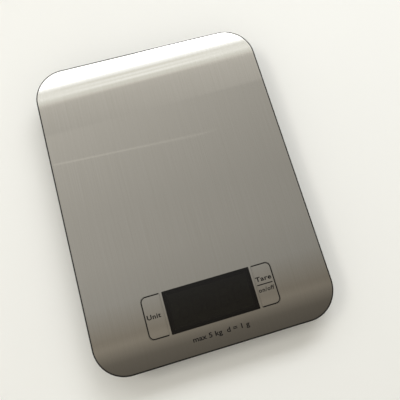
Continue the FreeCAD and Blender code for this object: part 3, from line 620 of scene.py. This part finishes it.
class Pen:
    """Draws a line of constant width as a strip, by sweeping a short edge along its course."""

    def __init__(self, start: Vector, heading: float, width: float) -> None:
        """Puts the pen down.

        Args:
            start: Where the line begins.
            heading: Its first direction, in degrees from +X.
            width: The width of the line.
        """
        self.shape = bmesh.new()
        self.heading = math.radians(heading)
        self.at = start.copy()
        side = self._side() * (width / 2)
        ends = [self.shape.verts.new(start - side), self.shape.verts.new(start + side)]
        self.edge = self.shape.edges.new(ends)

    def _along(self) -> Vector:
        """Unit vector along the pen's present direction."""
        return Vector((math.cos(self.heading), math.sin(self.heading), 0.0))

    def _side(self) -> Vector:
        """Unit vector to the left of the pen's present direction."""
        return Vector((-math.sin(self.heading), math.cos(self.heading), 0.0))

    def run(self, length: float) -> "Pen":
        """Draws straight on.

        Args:
            length: How far.

        Returns:
            The pen itself.
        """
        step = self._along() * length
        swept = bmesh.ops.extrude_edge_only(self.shape, edges=[self.edge])["geom"]
        moved = [item for item in swept if isinstance(item, BMVert)]
        bmesh.ops.translate(self.shape, verts=moved, vec=step)
        self.edge = next(item for item in swept if isinstance(item, BMEdge))
        self.at += step
        return self

    def turn(self, degrees: float, radius: float, steps: int = 10) -> "Pen":
        """Draws a round turn.

        Args:
            degrees: How far to turn, positive to the left.
            radius: Radius of the line's middle.
            steps: Number of facets in the turn.

        Returns:
            The pen itself.
        """
        sense = 1 if degrees > 0 else -1
        centre = self.at + self._side() * (radius * sense)
        swept = bmesh.ops.spin(
            self.shape, geom=[self.edge, *self.edge.verts], cent=centre, axis=(0, 0, 1),
            angle=math.radians(degrees), steps=steps, use_merge=False, use_duplicate=False,
        )["geom_last"]
        self.edge = next(item for item in swept if isinstance(item, BMEdge))
        self.heading += math.radians(degrees)
        self.at = centre - self._side() * (radius * sense)
        return self

    def lift(self) -> Mesh:
        """Ends the line and gives it the depth of ink.

        Returns:
            The line as a closed mesh.
        """
        bmesh.ops.remove_doubles(self.shape, verts=self.shape.verts, dist=WELD)
        thicken_up(self.shape, INK_DEPTH)
        return mesh_of(self.shape)


@dataclass(frozen=True)
class Word:
    """A printed word that fills a given rectangle of a flat top."""

    text: str
    left_mm: float
    right_mm: float
    front_mm: float
    rear_mm: float
    stroke: Stroke = Stroke.REGULAR
    spacing: float = 1.0

    def mesh(self, level: float) -> Mesh:
        """Builds the word as a thin closed mesh.

        Args:
            level: Height of the underside of the ink.

        Returns:
            The mesh, fitted to the rectangle.
        """
        curve = bpy.data.curves.new(self.text, "FONT")
        curve.body = self.text
        curve.size = 1.0
        curve.offset = self.stroke.value
        curve.space_character = self.spacing
        curve.extrude = 0.01    # Any depth will do, as the fit below sets the real one.
        curve.resolution_u = 6
        holder = bpy.data.objects.new(self.text, curve)
        mesh = bpy.data.meshes.new_from_object(holder)
        bpy.data.objects.remove(holder)
        bpy.data.curves.remove(curve)
        shape = bmesh.new()
        shape.from_mesh(mesh)
        bpy.data.meshes.remove(mesh)
        bmesh.ops.remove_doubles(shape, verts=shape.verts, dist=TYPE_WELD)
        spans = [[vertex.co[axis] for vertex in shape.verts] for axis in range(3)]
        lows = [min(span) for span in spans]
        wides = [max(span) - min(span) for span in spans]
        bmesh.ops.translate(shape, verts=shape.verts, vec=[-low for low in lows])
        bmesh.ops.scale(
            shape, verts=shape.verts,
            vec=(
                (self.right_mm - self.left_mm) * MM / wides[0],
                (self.rear_mm - self.front_mm) * MM / wides[1],
                INK_DEPTH / wides[2],
            ),
        )
        return mesh_of(shape, (self.left_mm * MM, self.front_mm * MM, level))


# ---- sub-assemblies


def made(kind: type[Finish], *values: str | float, **settings: float) -> Material:
    """Field that holds a finish of the given kind, made together with the others."""
    return field(default_factory=kind(*values, **settings).make)


@dataclass(frozen=True)
class Finishes:
    """Every finish of the scale, made once and shared by its sub-assemblies."""

    steel: Material = made(BrushedStainless)
    # Satin ABS of the upper shell: low grain, so the lip draws a clean dark line with a sheen.
    satin_abs: Material = made(
        Moulded, "satin_black_abs", "0d0c0a", "11100e", 0.38, grain_mm=0.25, relief_mm=0.002,
        edge_mm=0.1, specular=0.18,
    )
    # Spark-eroded ABS of the lower shell: coarse grain and a dull, slightly greyer look.
    eroded_abs: Material = made(
        Moulded, "spark_eroded_black_abs", "151514", "1d1d1b", 0.58, grain_mm=0.45, relief_mm=0.02,
        edge_mm=0.4, specular=0.35,
    )
    # Glass-filled nylon of the small inner mouldings: black with a dry sheen.
    nylon: Material = made(
        Moulded, "moulded_black_nylon", "171717", "202020", 0.48, grain_mm=0.3, relief_mm=0.008
    )
    # White polypropylene of the sensor retainers: waxy and a little translucent to the eye.
    polypropylene: Material = made(
        Moulded, "white_polypropylene", "dedcd4", "e9e7e0", 0.42, grain_mm=0.5, relief_mm=0.004
    )
    # Moulded nitrile rubber of the feet: matte, dark and faintly dusty.
    rubber: Material = made(
        Moulded, "nitrile_rubber", "202020", "2c2b29", 0.82, grain_mm=0.2, relief_mm=0.01, ior=1.52
    )
    # Silicone of the contact strips: matte grey-blue.
    silicone: Material = made(
        Moulded, "contact_silicone", "5a6266", "686f72", 0.66, grain_mm=0.2, relief_mm=0.004
    )
    acrylic: Material = made(TintedAcrylic)
    # Screen-print ink: flat near-black with the weave of the screen in it.
    ink: Material = made(
        Moulded, "screen_print_ink", "0b0a09", "100f0d", 0.70, grain_mm=0.12, relief_mm=0.0015,
        edge_mm=0.01, specular=0.12,
    )
    # Reflective polariser over the display glass: grey-green and dull.
    display: Material = made(
        Moulded, "polarised_display_glass", "59604f", "616857", 0.30, grain_mm=0.2,
        relief_mm=0.0005, edge_mm=0.05,
    )
    # Resting segments of the display: a shade darker than the ground that they lie in.
    segments: Material = made(
        Moulded, "resting_segments", "444a3d", "4a5042", 0.32, grain_mm=0.2, relief_mm=0.0005,
        edge_mm=0.01,
    )
    board: Material = made(CoatedBoard)
    # Potting epoxy over the controller: glossy black drop.
    epoxy: Material = made(
        Moulded, "potting_epoxy", "0e0e0f", "141415", 0.15, grain_mm=1.5, relief_mm=0.01,
        edge_mm=0.3,
    )
    # Fired alumina of the small board parts: matte off-white and tan.
    ceramic: Material = made(
        Moulded, "fired_ceramic", "b9a88c", "d8d0c0", 0.45, grain_mm=0.08, relief_mm=0.002,
        edge_mm=0.08, ior=1.7,
    )
    sleeve: Material = made(CellSleeve)
    nickel: Material = made(PlatedMetal, "nickel_plated_steel", "c9c5bb", "b6b1a5", 0.24)
    zinc: Material = made(PlatedMetal, "zinc_plated_steel", "b4b6b8", "9c9fa3", 0.32)
    spring: Material = made(PlatedMetal, "spring_steel", "a9aaab", "8f9092", 0.30, mottle_mm=2.5)
    # Matt polyester film of the rating label: pale silver-grey, printed with a plain border.
    film: Material = made(
        Moulded, "polyester_label_film", "c4c5c4", "cdcecd", 0.45, grain_mm=0.15, relief_mm=0.001,
        edge_mm=0.03,
    )
    # Polyimide film of the strain gauges: amber and slightly glossy.
    polyimide: Material = made(
        Moulded, "polyimide_film", "b3701f", "c27e2a", 0.25, grain_mm=0.4, relief_mm=0.002,
        edge_mm=0.03,
    )
    # Acrylic foam tape under the platform: dull white with fine cells.
    foam: Material = made(
        Moulded, "acrylic_foam_tape", "d9d7cf", "e2e0d9", 0.90, grain_mm=0.25, relief_mm=0.02
    )
    red_pvc: Material = made(Moulded, "red_pvc_insulation", "a5201c", "b32a24", 0.38, edge_mm=0.02)
    black_pvc: Material = made(
        Moulded, "black_pvc_insulation", "161616", "1e1e1e", 0.38, edge_mm=0.02
    )
    white_pvc: Material = made(
        Moulded, "white_pvc_insulation", "dcdad4", "e6e4df", 0.38, edge_mm=0.02
    )


@dataclass
class WeighingPlatform:
    """The steel platform with its adhesive tape, and the plain capacity mark printed on it."""

    finishes: Finishes
    mark: Word = Word("max 5 kg  d = 1 g", -16.5, 18.5, -93.0, -89.2, spacing=1.02)

    def build(self) -> None:
        """Dresses the plate and prints the mark."""
        dress(["platform_plate"], self.finishes.steel)
        dress(["plate_tape"], self.finishes.foam)
        top = node_box("platform_plate")[1].z
        place_piece(
            self.mark.mesh(top - INK_SUNK), "capacity_mark", self.finishes.ink, HOUSING,
        )


@dataclass
class Casing:
    """The two shells, the screws that join them and the blank label on the underside."""

    finishes: Finishes
    label_margin_mm: float = 2.0
    label_line_mm: float = 0.3
    label_corner_mm: float = 1.0

    def build(self) -> None:
        """Dresses the shells and draws the label's border."""
        dress(["top_tray"], self.finishes.satin_abs)
        dress(["bottom_cover"], self.finishes.eroded_abs)
        dress(["cover_screws"], self.finishes.zinc)
        dress(["rating_label"], self.finishes.film)
        self._label_border()

    def _label_border(self) -> None:
        """Prints a rounded border on the label, on its lower face."""
        low, high = node_box("rating_label")
        inset = self.label_margin_mm * MM
        corner = self.label_corner_mm * MM
        long_run = (high.x - low.x) - 2 * (inset + corner)
        short_run = (high.y - low.y) - 2 * (inset + corner)
        start = Vector((low.x + inset + corner, low.y + inset, low.z - INK_RISE))
        pen = Pen(start, 0.0, self.label_line_mm * MM)
        for run in (long_run, short_run, long_run, short_run):
            pen.run(run).turn(90.0, corner)
        place_piece(pen.lift(), "label_border", self.finishes.ink, HOUSING)


@dataclass
class DisplayWindow:
    """The smoked window with its printed mask, and the liquid-crystal display beneath it."""

    finishes: Finishes
    digits: int = 5
    digit_width_mm: float = 6.4
    digit_height_mm: float = 12.0
    digit_pitch_mm: float = 8.6
    digit_slant: float = 0.10
    segment_mm: float = 1.1
    segment_gap_mm: float = 0.25
    point_gap_mm: float = 0.9
    mask_border_mm: float = 2.6
    mask_inset_mm: float = 0.2
    mask_thickness_mm: float = 0.03
    units: Word = Word("g  ml  lb:oz", 8.0, 23.0, -80.6, -79.0)

    def build(self) -> None:
        """Dresses the window and the display, and adds the mask and the resting segments."""
        dress(["display_lens"], self.finishes.acrylic)
        dress(["lcd_panel"], self.finishes.display)
        dress(["lcd_frame"], self.finishes.nylon)
        dress(["zebra_strips"], self.finishes.silicone)
        self._mask()
        self._segments()
        level = node_box("lcd_panel")[1].z - INK_SUNK
        place_piece(
            self.units.mesh(level), "display_unit_names", self.finishes.segments, HOUSING,
        )

    def _mask(self) -> None:
        """Prints the opaque border on the window's underside."""
        low, high = node_box("display_lens")
        border, inset = self.mask_border_mm * MM, 2 * self.mask_inset_mm * MM
        size, middle = high - low, (high + low) / 2
        shape = bmesh.new()
        bmesh.ops.create_grid(shape, x_segments=1, y_segments=1, size=0.5)
        bmesh.ops.scale(shape, verts=shape.verts, vec=(size.x - inset, size.y - inset, 1.0))
        inner = bmesh.ops.inset_individual(
            shape, faces=shape.faces[:], thickness=border, use_even_offset=True
        )
        keep = set(inner["faces"])
        window = [face for face in shape.faces if face not in keep]
        bmesh.ops.delete(shape, geom=window, context="FACES_ONLY")
        thickness = self.mask_thickness_mm * MM
        thicken_up(shape, thickness)
        mesh = mesh_of(shape, (middle.x, middle.y, low.z - thickness - INK_RISE))
        place_piece(mesh, "display_mask", self.finishes.ink, HOUSING)

    def _segments(self) -> None:
        """Lays out the seven bars and the point of every digit on the display glass."""
        low, high = node_box("lcd_panel")
        middle = (low + high) / 2
        shape = bmesh.new()
        first = -(self.digits - 1) / 2 * self.digit_pitch_mm
        for index in range(self.digits):
            self._digit(shape, first + index * self.digit_pitch_mm)
        slant = Matrix(((1, self.digit_slant, 0, 0), (0, 1, 0, 0), (0, 0, 1, 0), (0, 0, 0, 1)))
        bmesh.ops.transform(shape, matrix=slant, verts=shape.verts)
        thicken_up(shape, INK_DEPTH)
        mesh = mesh_of(shape, (middle.x, middle.y, high.z - INK_SUNK))
        place_piece(mesh, "display_segments", self.finishes.segments, HOUSING)

    def _digit(self, shape: BMesh, x_mm: float) -> None:
        """Adds one digit's bars, flat, about the display's middle line.

        Args:
            shape: The bmesh that takes the bars.
            x_mm: Where the digit's middle is along X.
        """
        wide, tall = self.digit_width_mm, self.digit_height_mm
        flat = wide - self.segment_mm - 2 * self.segment_gap_mm
        upright = tall / 2 - self.segment_mm / 2 - 2 * self.segment_gap_mm
        half_w, half_h = (wide - self.segment_mm) / 2, (tall - self.segment_mm) / 2
        for y_mm in (-half_h, 0.0, half_h):
            self._bar(shape, x_mm, y_mm, flat, 0.0)
        for side in (-half_w, half_w):
            for y_mm in (-half_h / 2, half_h / 2):
                self._bar(shape, x_mm + side, y_mm, upright, math.pi / 2)
        self._bar(shape, x_mm + wide / 2 + self.point_gap_mm, -half_h, self.segment_mm, 0.0)

    def _bar(self, shape: BMesh, x_mm: float, y_mm: float, length_mm: float, turn: float) -> None:
        """Adds one six-sided bar, which widens towards one end.

        Args:
            shape: The bmesh that takes the bar.
            x_mm: Middle along X.
            y_mm: Middle along Y.
            length_mm: Length, before its ends are cut back.
            turn: Angle of its length from X, in radians.
        """
        bar = bmesh.ops.create_circle(shape, cap_ends=True, radius=1.0, segments=6)["verts"]
        half = self.segment_mm / 2
        for vertex in bar:
            aside = half * (2 / math.sqrt(3)) * vertex.co.y
            reach = length_mm / 2 - abs(aside)
            vertex.co = Vector((math.copysign(reach, vertex.co.x), aside, 0.0))
        spot = Matrix.Translation((x_mm * MM, y_mm * MM, 0.0))
        matrix = spot @ Matrix.Rotation(turn, 4, "Z") @ Matrix.Scale(MM, 4)
        bmesh.ops.transform(shape, matrix=matrix, verts=bar)


@dataclass
class TouchKey:
    """One key beside the display: steel face, carrier, switch and the print on its face."""

    finishes: Finishes
    side: Side
    words: tuple[Word, ...]
    rule_y_mm: float | None = None
    bracket_x_mm: float = 40.65
    bracket_end_mm: float = 29.3
    bracket_rear_mm: float = -59.05
    bracket_front_mm: float = -83.95
    bracket_corner_mm: float = 3.0
    line_mm: float = 0.62
    rule_left_mm: float = 29.6
    rule_right_mm: float = 39.4

    @property
    def body(self) -> str:
        """Name of the CAD body that the key's parts ride on."""
        return f"{self.side.value}_key"

    def build(self) -> None:
        """Dresses the key's nodes and prints its face."""
        name = self.side.value
        dress([f"{name}_key_face"], self.finishes.steel)
        dress(
            [f"{name}_key_carrier", f"{name}_switch_base", f"{name}_switch_button"],
            self.finishes.nylon,
        )
        level = node_box(f"{name}_key_face")[1].z - INK_SUNK
        self._print(self._bracket(level), f"{name}_bracket")
        for index, word in enumerate(self.words, start=1):
            self._print(word.mesh(level), f"{name}_legend_{index}")
        if self.rule_y_mm is not None:
            start = Vector((self.rule_left_mm * MM, self.rule_y_mm * MM, level))
            pen = Pen(start, 0.0, self.line_mm * MM)
            pen.run((self.rule_right_mm - self.rule_left_mm) * MM)
            self._print(pen.lift(), f"{name}_rule")

    def _print(self, mesh: Mesh, name: str) -> None:
        """Places one printed mark on the key's face."""
        place_piece(mesh, name, self.finishes.ink, self.body)

    def _bracket(self, level: float) -> Mesh:
        """Draws the line round the outer side of the key, open towards the display.

        Args:
            level: Height of the underside of the ink.

        Returns:
            The line as a closed mesh.
        """
        sign = self.side.sign
        corner = self.bracket_corner_mm * MM
        reach = (self.bracket_x_mm - self.bracket_end_mm) * MM - corner
        drop = (self.bracket_rear_mm - self.bracket_front_mm) * MM - 2 * corner
        start = Vector((sign * self.bracket_end_mm * MM, self.bracket_rear_mm * MM, level))
        pen = Pen(start, 0.0 if sign > 0 else 180.0, self.line_mm * MM)
        pen.run(reach).turn(-90.0 * sign, corner).run(drop).turn(-90.0 * sign, corner).run(reach)
        return pen.lift()


@dataclass
class Foot:
    """One foot: cap, rubber pad with tread rings, and the load sensor that it presses on."""

    finishes: Finishes
    corner: str
    rings_mm: tuple[float, ...] = (2.6, 4.9)
    ring_width_mm: float = 0.9
    ring_depth_mm: float = 0.35
    # Share of a groove's width that each of its sloped sides takes.
    ring_slope: float = 0.15
    chamfer_mm: float = 0.4
    edge_mm: float = 0.12
    sharp_degrees: float = 30.0
    facets: int = 64

    def build(self) -> None:
        """Dresses the foot's nodes and makes its ringed pad."""
        corner = self.corner
        dress([f"foot_cap_{corner}"], self.finishes.nylon)
        dress([f"load_sensor_{corner}"], self.finishes.spring)
        dress([f"strain_gauge_{corner}"], self.finishes.polyimide)
        dress([f"sensor_retainer_{corner}"], self.finishes.polypropylene)
        dress([f"sensor_lead_{corner}"], self.finishes.white_pvc)
        pad = self._pad()
        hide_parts(f"foot_pad_{corner}")

    def _pad(self) -> Object:
        """Turns the pad's outline, with its rings, about the foot's middle.

        Returns:
            The pad, riding on its foot.
        """
        low, high = node_box(f"foot_pad_{self.corner}")
        radius, top = (high.x - low.x) / 2, high.z - low.z
        depth, width = self.ring_depth_mm * MM, self.ring_width_mm * MM
        slope, chamfer = self.ring_slope, self.chamfer_mm * MM
        outline = [(0.0, 0.0)]
        for ring in self.rings_mm:
            inner = ring * MM
            outline += [
                (inner, 0.0), (inner + width * slope, depth),
                (inner + width * (1 - slope), depth), (inner + width, 0.0),
            ]
        outline += [(radius - chamfer, 0.0), (radius, chamfer), (radius, top), (0.0, top)]
        shape = bmesh.new()
        verts = [shape.verts.new((r, 0.0, z)) for r, z in outline]
        edges = [shape.edges.new(pair) for pair in zip(verts, verts[1:])]
        bmesh.ops.spin(
            shape, geom=[*verts, *edges], cent=(0, 0, 0), axis=(0, 0, 1),
            angle=2 * math.pi, steps=self.facets, use_merge=True, use_duplicate=False,
        )
        bmesh.ops.remove_doubles(shape, verts=shape.verts, dist=WELD)
        sharp = [
            edge for edge in shape.edges
            if len(edge.link_faces) == 2
            and edge.calc_face_angle(0.0) > math.radians(self.sharp_degrees)
        ]
        bmesh.ops.bevel(
            shape, geom=sharp, offset=self.edge_mm * MM, segments=2, profile=0.5,
            affect="EDGES", material=-1, clamp_overlap=True,
        )
        middle = (low + high) / 2
        return place_piece(
            mesh_of(shape, (middle.x, middle.y, low.z)), f"tread_pad_{self.corner}",
            self.finishes.rubber, f"foot_{self.corner}", smooth_degrees=40,
        )


@dataclass
class BatteryBay:
    """Door, latch, cells, contacts and leads of the battery bay."""

    finishes: Finishes
    arrow_mm: float = 3.2
    arrow_rise_mm: float = 0.12
    arrow_edge_mm: float = 0.05
    arrow_y_mm: float = 52.2

    def build(self) -> None:
        """Dresses the bay's nodes and adds the opening arrow on the door."""
        dress(["battery_door", "battery_door_latch"], self.finishes.eroded_abs)
        dress(["battery_cell_front", "battery_cell_rear"], self.finishes.sleeve)
        dress(["positive_contact", "negative_contact", "bridge_contact"], self.finishes.nickel)
        dress(["battery_lead_red"], self.finishes.red_pvc)
        dress(["battery_lead_black"], self.finishes.black_pvc)
        self._arrow()

    def _arrow(self) -> None:
        """Raises a small moulded triangle that points to the latch, half of it in the door."""
        low, rise = node_box("battery_door")[0], self.arrow_rise_mm * MM
        shape = bmesh.new()
        bmesh.ops.create_circle(shape, cap_ends=True, radius=self.arrow_mm / 2 * MM, segments=3)
        thicken_up(shape, 2 * rise)
        bmesh.ops.bevel(
            shape, geom=shape.edges[:], offset=self.arrow_edge_mm * MM, segments=2, profile=0.5,
            affect="EDGES", material=-1,
        )
        mesh = mesh_of(shape, (0.0, self.arrow_y_mm * MM, low.z - rise))
        place_piece(
            mesh, "door_arrow", self.finishes.eroded_abs, "battery_door"
        )


@dataclass
class Electronics:
    """The circuit board with its controller, small parts and screws."""

    finishes: Finishes

    def build(self) -> None:
        """Dresses the board's nodes."""
        dress(["main_board"], self.finishes.board)
        dress(["controller_chip"], self.finishes.epoxy)
        dress(["board_parts"], self.finishes.ceramic)
        dress(["board_screws", "retainer_screws"], self.finishes.zinc)


# ---- floor, light, camera


@dataclass
class Studio:
    """Pale table, a window behind the scale, a dim ceiling, side lamps and the camera."""

    table_colour: str = "f3f4f0"
    table_radius: float = 6.0
    table_facets: int = 48
    # How much darker the table's clouds are.
    cloud_tone: float = 0.985
    # Wall behind the scale, turned a little. The platform's rear end mirrors its window and blind.
    window_y: float = 0.60
    window_x: float = 0.03
    window_low: float = 0.300
    window_turn_degrees: float = 0.88
    window_radiance: float = 2.6
    wall_half_width: float = 0.85
    wall_fade_mm: tuple[float, float] = (520.0, 820.0)
    # Lower pane to the right, in front of the wall, which lights the table from the rear right.
    pane_span: tuple[float, float] = (0.05, 0.75)
    pane_heights: tuple[float, float] = (0.46, 0.78)
    pane_gap: float = 0.03
    pane_radiance: float = 7.6
    ceiling_height: float = 1.20
    ceiling_front: float = -1.20
    ceiling_half_width: float = 1.20
    ceiling_overlap: float = 0.05
    ceiling_lean: float = -0.25
    # Curtain rail just under the ceiling: the bright line across the platform.
    rail_left: tuple[float, float] = (-0.386, 0.474)
    rail_right: tuple[float, float] = (0.210, 0.445)
    rail_radiances: tuple[float, float] = (0.74, 0.62)
    rail_depth: float = 0.006
    rail_drop: float = 0.01
    softbox_inner: float = 0.72
    softbox_drop: float = 0.02
    softbox_radiances: tuple[float, float] = (10.5, 2.0)
    daylight: str = "fbfcff"
    warm: str = "fffaf2"
    world_colour: str = "f8f5ed"
    world_strength: float = 0.705
    camera_place: Vector = field(default_factory=lambda: Vector((-10.68, -58.18, 269.95)) * MM)
    camera_aim: Vector = field(default_factory=lambda: Vector((10.68, -10.44, 17.5)) * MM)
    camera_turn_degrees: float = 15.95
    camera_lens: float = 36.69
    camera_sensor: float = 36.0

    def build(self) -> None:
        """Sets up the table, the light and the camera."""
        self._table()
        self._window()
        self._ceiling()
        self._softboxes()
        self._world()
        self._camera()

    def _card(
        self, name: str, corners: list[tuple[float, float, float] | Vector], material: Material
    ) -> None:
        """Makes a flat card that isn't part of the scale.

        Args:
            name: The card's name.
            corners: Its corners in order.
            material: What it is covered with.
        """
        shape = bmesh.new()
        bmesh.ops.contextual_create(shape, geom=[shape.verts.new(corner) for corner in corners])
        mesh = bpy.data.meshes.new(name)
        shape.to_mesh(mesh)
        shape.free()
        mesh.materials.append(material)
        card = bpy.data.objects.new(name, mesh)
        bpy.context.scene.collection.objects.link(card)

    def _table(self) -> None:
        """Lays the pale table top that the feet stand on."""
        material, tree, place = new_material("pale_laminate")
        cloud = add_node(tree, "TexNoise", {"Scale": 4.0, "Detail": 3.0}, {"Vector": place})
        tone = linear(self.table_colour)
        dim = tuple(channel * self.cloud_tone for channel in tone[:3]) + (1.0,)
        tint = add_node(
            tree, "ValToRGB", {"stops": [(0.3, dim), (0.7, tone)]}, {"Fac": cloud.outputs["Fac"]}
        )
        shader = add_node(
            tree, "BsdfPrincipled", {"Roughness": 0.85, "Specular IOR Level": 0.15},
            {"Base Color": tint.outputs["Color"]},
        )
        finish_material(material, shader)
        rim = [math.tau * step / self.table_facets for step in range(self.table_facets)]
        reach = self.table_radius
        corners = [(reach * math.cos(turn), reach * math.sin(turn), 0.0) for turn in rim]
        self._card("table", corners, material)

    def _window(self) -> None:
        """Hangs the bright window, and above it the stepped blind and the wall."""
        glass, slat, wall, daylight = "ffffff", "fffdf6", self.warm, self.daylight
        bright = self.window_radiance
        view = Glow(
            "window_blind_and_wall", "Z",
            (
                (300.0, self.world_strength, self.world_colour), (430.0, 1.2, daylight),
                (560.0, 1.75, daylight), (740.0, 2.5, daylight),
                (810.0, bright, glass), (882.0, bright, glass), (887.0, 1.70, glass),
                (899.0, 1.44, glass), (905.0, 1.20, slat), (911.0, 1.08, slat),
                (917.0, 1.26, slat), (923.0, 1.44, glass), (930.0, 1.18, slat),
                (935.0, 1.22, slat), (942.0, 1.50, glass), (949.0, 1.28, slat),
                (954.0, 1.06, slat), (970.0, 1.04, slat), (978.0, 0.94, wall),
                (988.0, 0.74, wall), (1042.0, 0.69, wall), (1200.0, 0.62, wall),
            ),
            fade_mm=self.wall_fade_mm,
        ).make()
        half, x = self.wall_half_width, self.window_x
        low, top = self.window_low, self.ceiling_height
        skew = half * math.tan(math.radians(self.window_turn_degrees))
        near, far = self.window_y - skew, self.window_y + skew
        corners = [
            (x - half, near, low), (x + half, far, low), (x + half, far, top), (x - half, near, top)
        ]
        self._card("window_wall", corners, view)
        (left, right), (foot, head) = self.pane_span, self.pane_heights
        y = self.window_y - self.pane_gap
        even = tuple((z / MM, self.pane_radiance, daylight) for z in (foot, head))
        corners = [(left, y, foot), (right, y, foot), (right, y, head), (left, y, head)]
        self._card("side_pane", corners, Glow("side_pane", "Z", even).make())

    def _ceiling(self) -> None:
        """Hangs the ceiling, dim above the scale's front and lighter away from it, and its rail."""
        warm, brown = self.warm, "fff2e0"
        glow = Glow(
            "ceiling", "Y",
            (
                (-1200.0, 0.70, warm), (-650.0, 0.30, brown), (-313.0, 0.12, brown),
                (-245.0, 0.17, brown), (-192.0, 0.33, brown), (-168.0, 0.30, brown),
                (-57.0, 0.42, warm), (79.0, 0.47, warm), (261.0, 0.50, warm), (443.0, 0.56, warm),
                (600.0, 0.62, warm),
            ),
            lean=self.ceiling_lean,
        ).make()
        half, x, z = self.ceiling_half_width, self.window_x, self.ceiling_height
        front, rear = self.ceiling_front, self.window_y + self.ceiling_overlap
        corners = [
            (x - half, front, z), (x - half, rear, z), (x + half, rear, z), (x + half, front, z)
        ]
        self._card("ceiling", corners, glow)
        ends = [Vector((*end, z - self.rail_drop)) for end in (self.rail_left, self.rail_right)]
        stops = tuple((end.x / MM, level, warm) for end, level in zip(ends, self.rail_radiances))
        rear_ends = [end + Vector((0.0, self.rail_depth, 0.0)) for end in reversed(ends)]
        self._card("curtain_rail", ends + rear_ends, Glow("curtain_rail", "X", stops).make())

    def _softboxes(self) -> None:
        """Hangs a large diffuse lamp on each side, high and out of the platform's mirror image."""
        near, far = self.softbox_inner, self.ceiling_half_width
        front, rear = self.ceiling_front, self.window_y - self.ceiling_overlap
        z, warm = self.ceiling_height - self.softbox_drop, self.warm
        for sign, peak in zip((-1, 1), self.softbox_radiances):
            lamp = Glow(
                "softbox", "Y",
                (
                    (-1200.0, 0.3, warm), (-300.0, 0.05 * peak, warm), (100.0, 0.4 * peak, warm),
                    (550.0, peak, warm),
                ),
            ).make()
            corners = [
                (sign * near, front, z), (sign * near, rear, z),
                (sign * far, rear, z), (sign * far, front, z),
            ]
            self._card("softbox", corners, lamp)

    def _world(self) -> None:
        """Fills in with an even pale room light."""
        world = bpy.data.worlds.new("room")
        world.use_nodes = True
        tree = world.node_tree
        tree.nodes.clear()
        look = {"Color": linear(self.world_colour), "Strength": self.world_strength}
        shader = add_node(tree, "Background", look)
        add_node(tree, "OutputWorld", {}, {"Surface": shader.outputs[0]})
        bpy.context.scene.world = world
        bpy.context.scene.view_settings.view_transform = "Standard"

    def _camera(self) -> None:
        """Places the camera above the display end, turned a little to the right."""
        data = bpy.data.cameras.new("camera")
        data.lens = self.camera_lens
        data.sensor_width = self.camera_sensor
        camera = bpy.data.objects.new("camera", data)
        ahead = (self.camera_aim - self.camera_place).normalized()
        turn = math.radians(self.camera_turn_degrees)
        hint = Vector((math.sin(turn), math.cos(turn), 0.0))
        right = ahead.cross(hint).normalized()
        up = right.cross(ahead)
        basis = Matrix((right, up, -ahead)).transposed()
        camera.matrix_world = Matrix.Translation(self.camera_place) @ basis.to_4x4()
        bpy.context.scene.collection.objects.link(camera)
        bpy.context.scene.camera = camera


def main() -> None:
    """Builds the sub-assemblies in order, then the studio."""
    logging.basicConfig(level=logging.INFO, format="%(message)s")
    finishes = Finishes()
    parts = [
        WeighingPlatform(finishes),
        Casing(finishes),
        DisplayWindow(finishes),
        TouchKey(
            finishes,
            Side.LEFT,
            (Word("Unit", -39.5, -31.0, -72.6, -69.7, Stroke.BOLD, 1.1),),
        ),
        TouchKey(
            finishes,
            Side.RIGHT,
            (
                Word("Tare", 29.5, 39.5, -69.1, -66.2, Stroke.BOLD, 1.1),
                Word("on/off", 29.6, 39.5, -75.6, -73.0, Stroke.BOLD, 1.15),
            ),
            rule_y_mm=-71.1,
        ),
        *(Foot(finishes, corner) for corner in CORNERS),
        BatteryBay(finishes),
        Electronics(finishes),
    ]
    for part in parts:
        LOG.info("building %s", type(part).__name__)
        part.build()
    Studio().build()


if __name__ == "__main__":
    main()
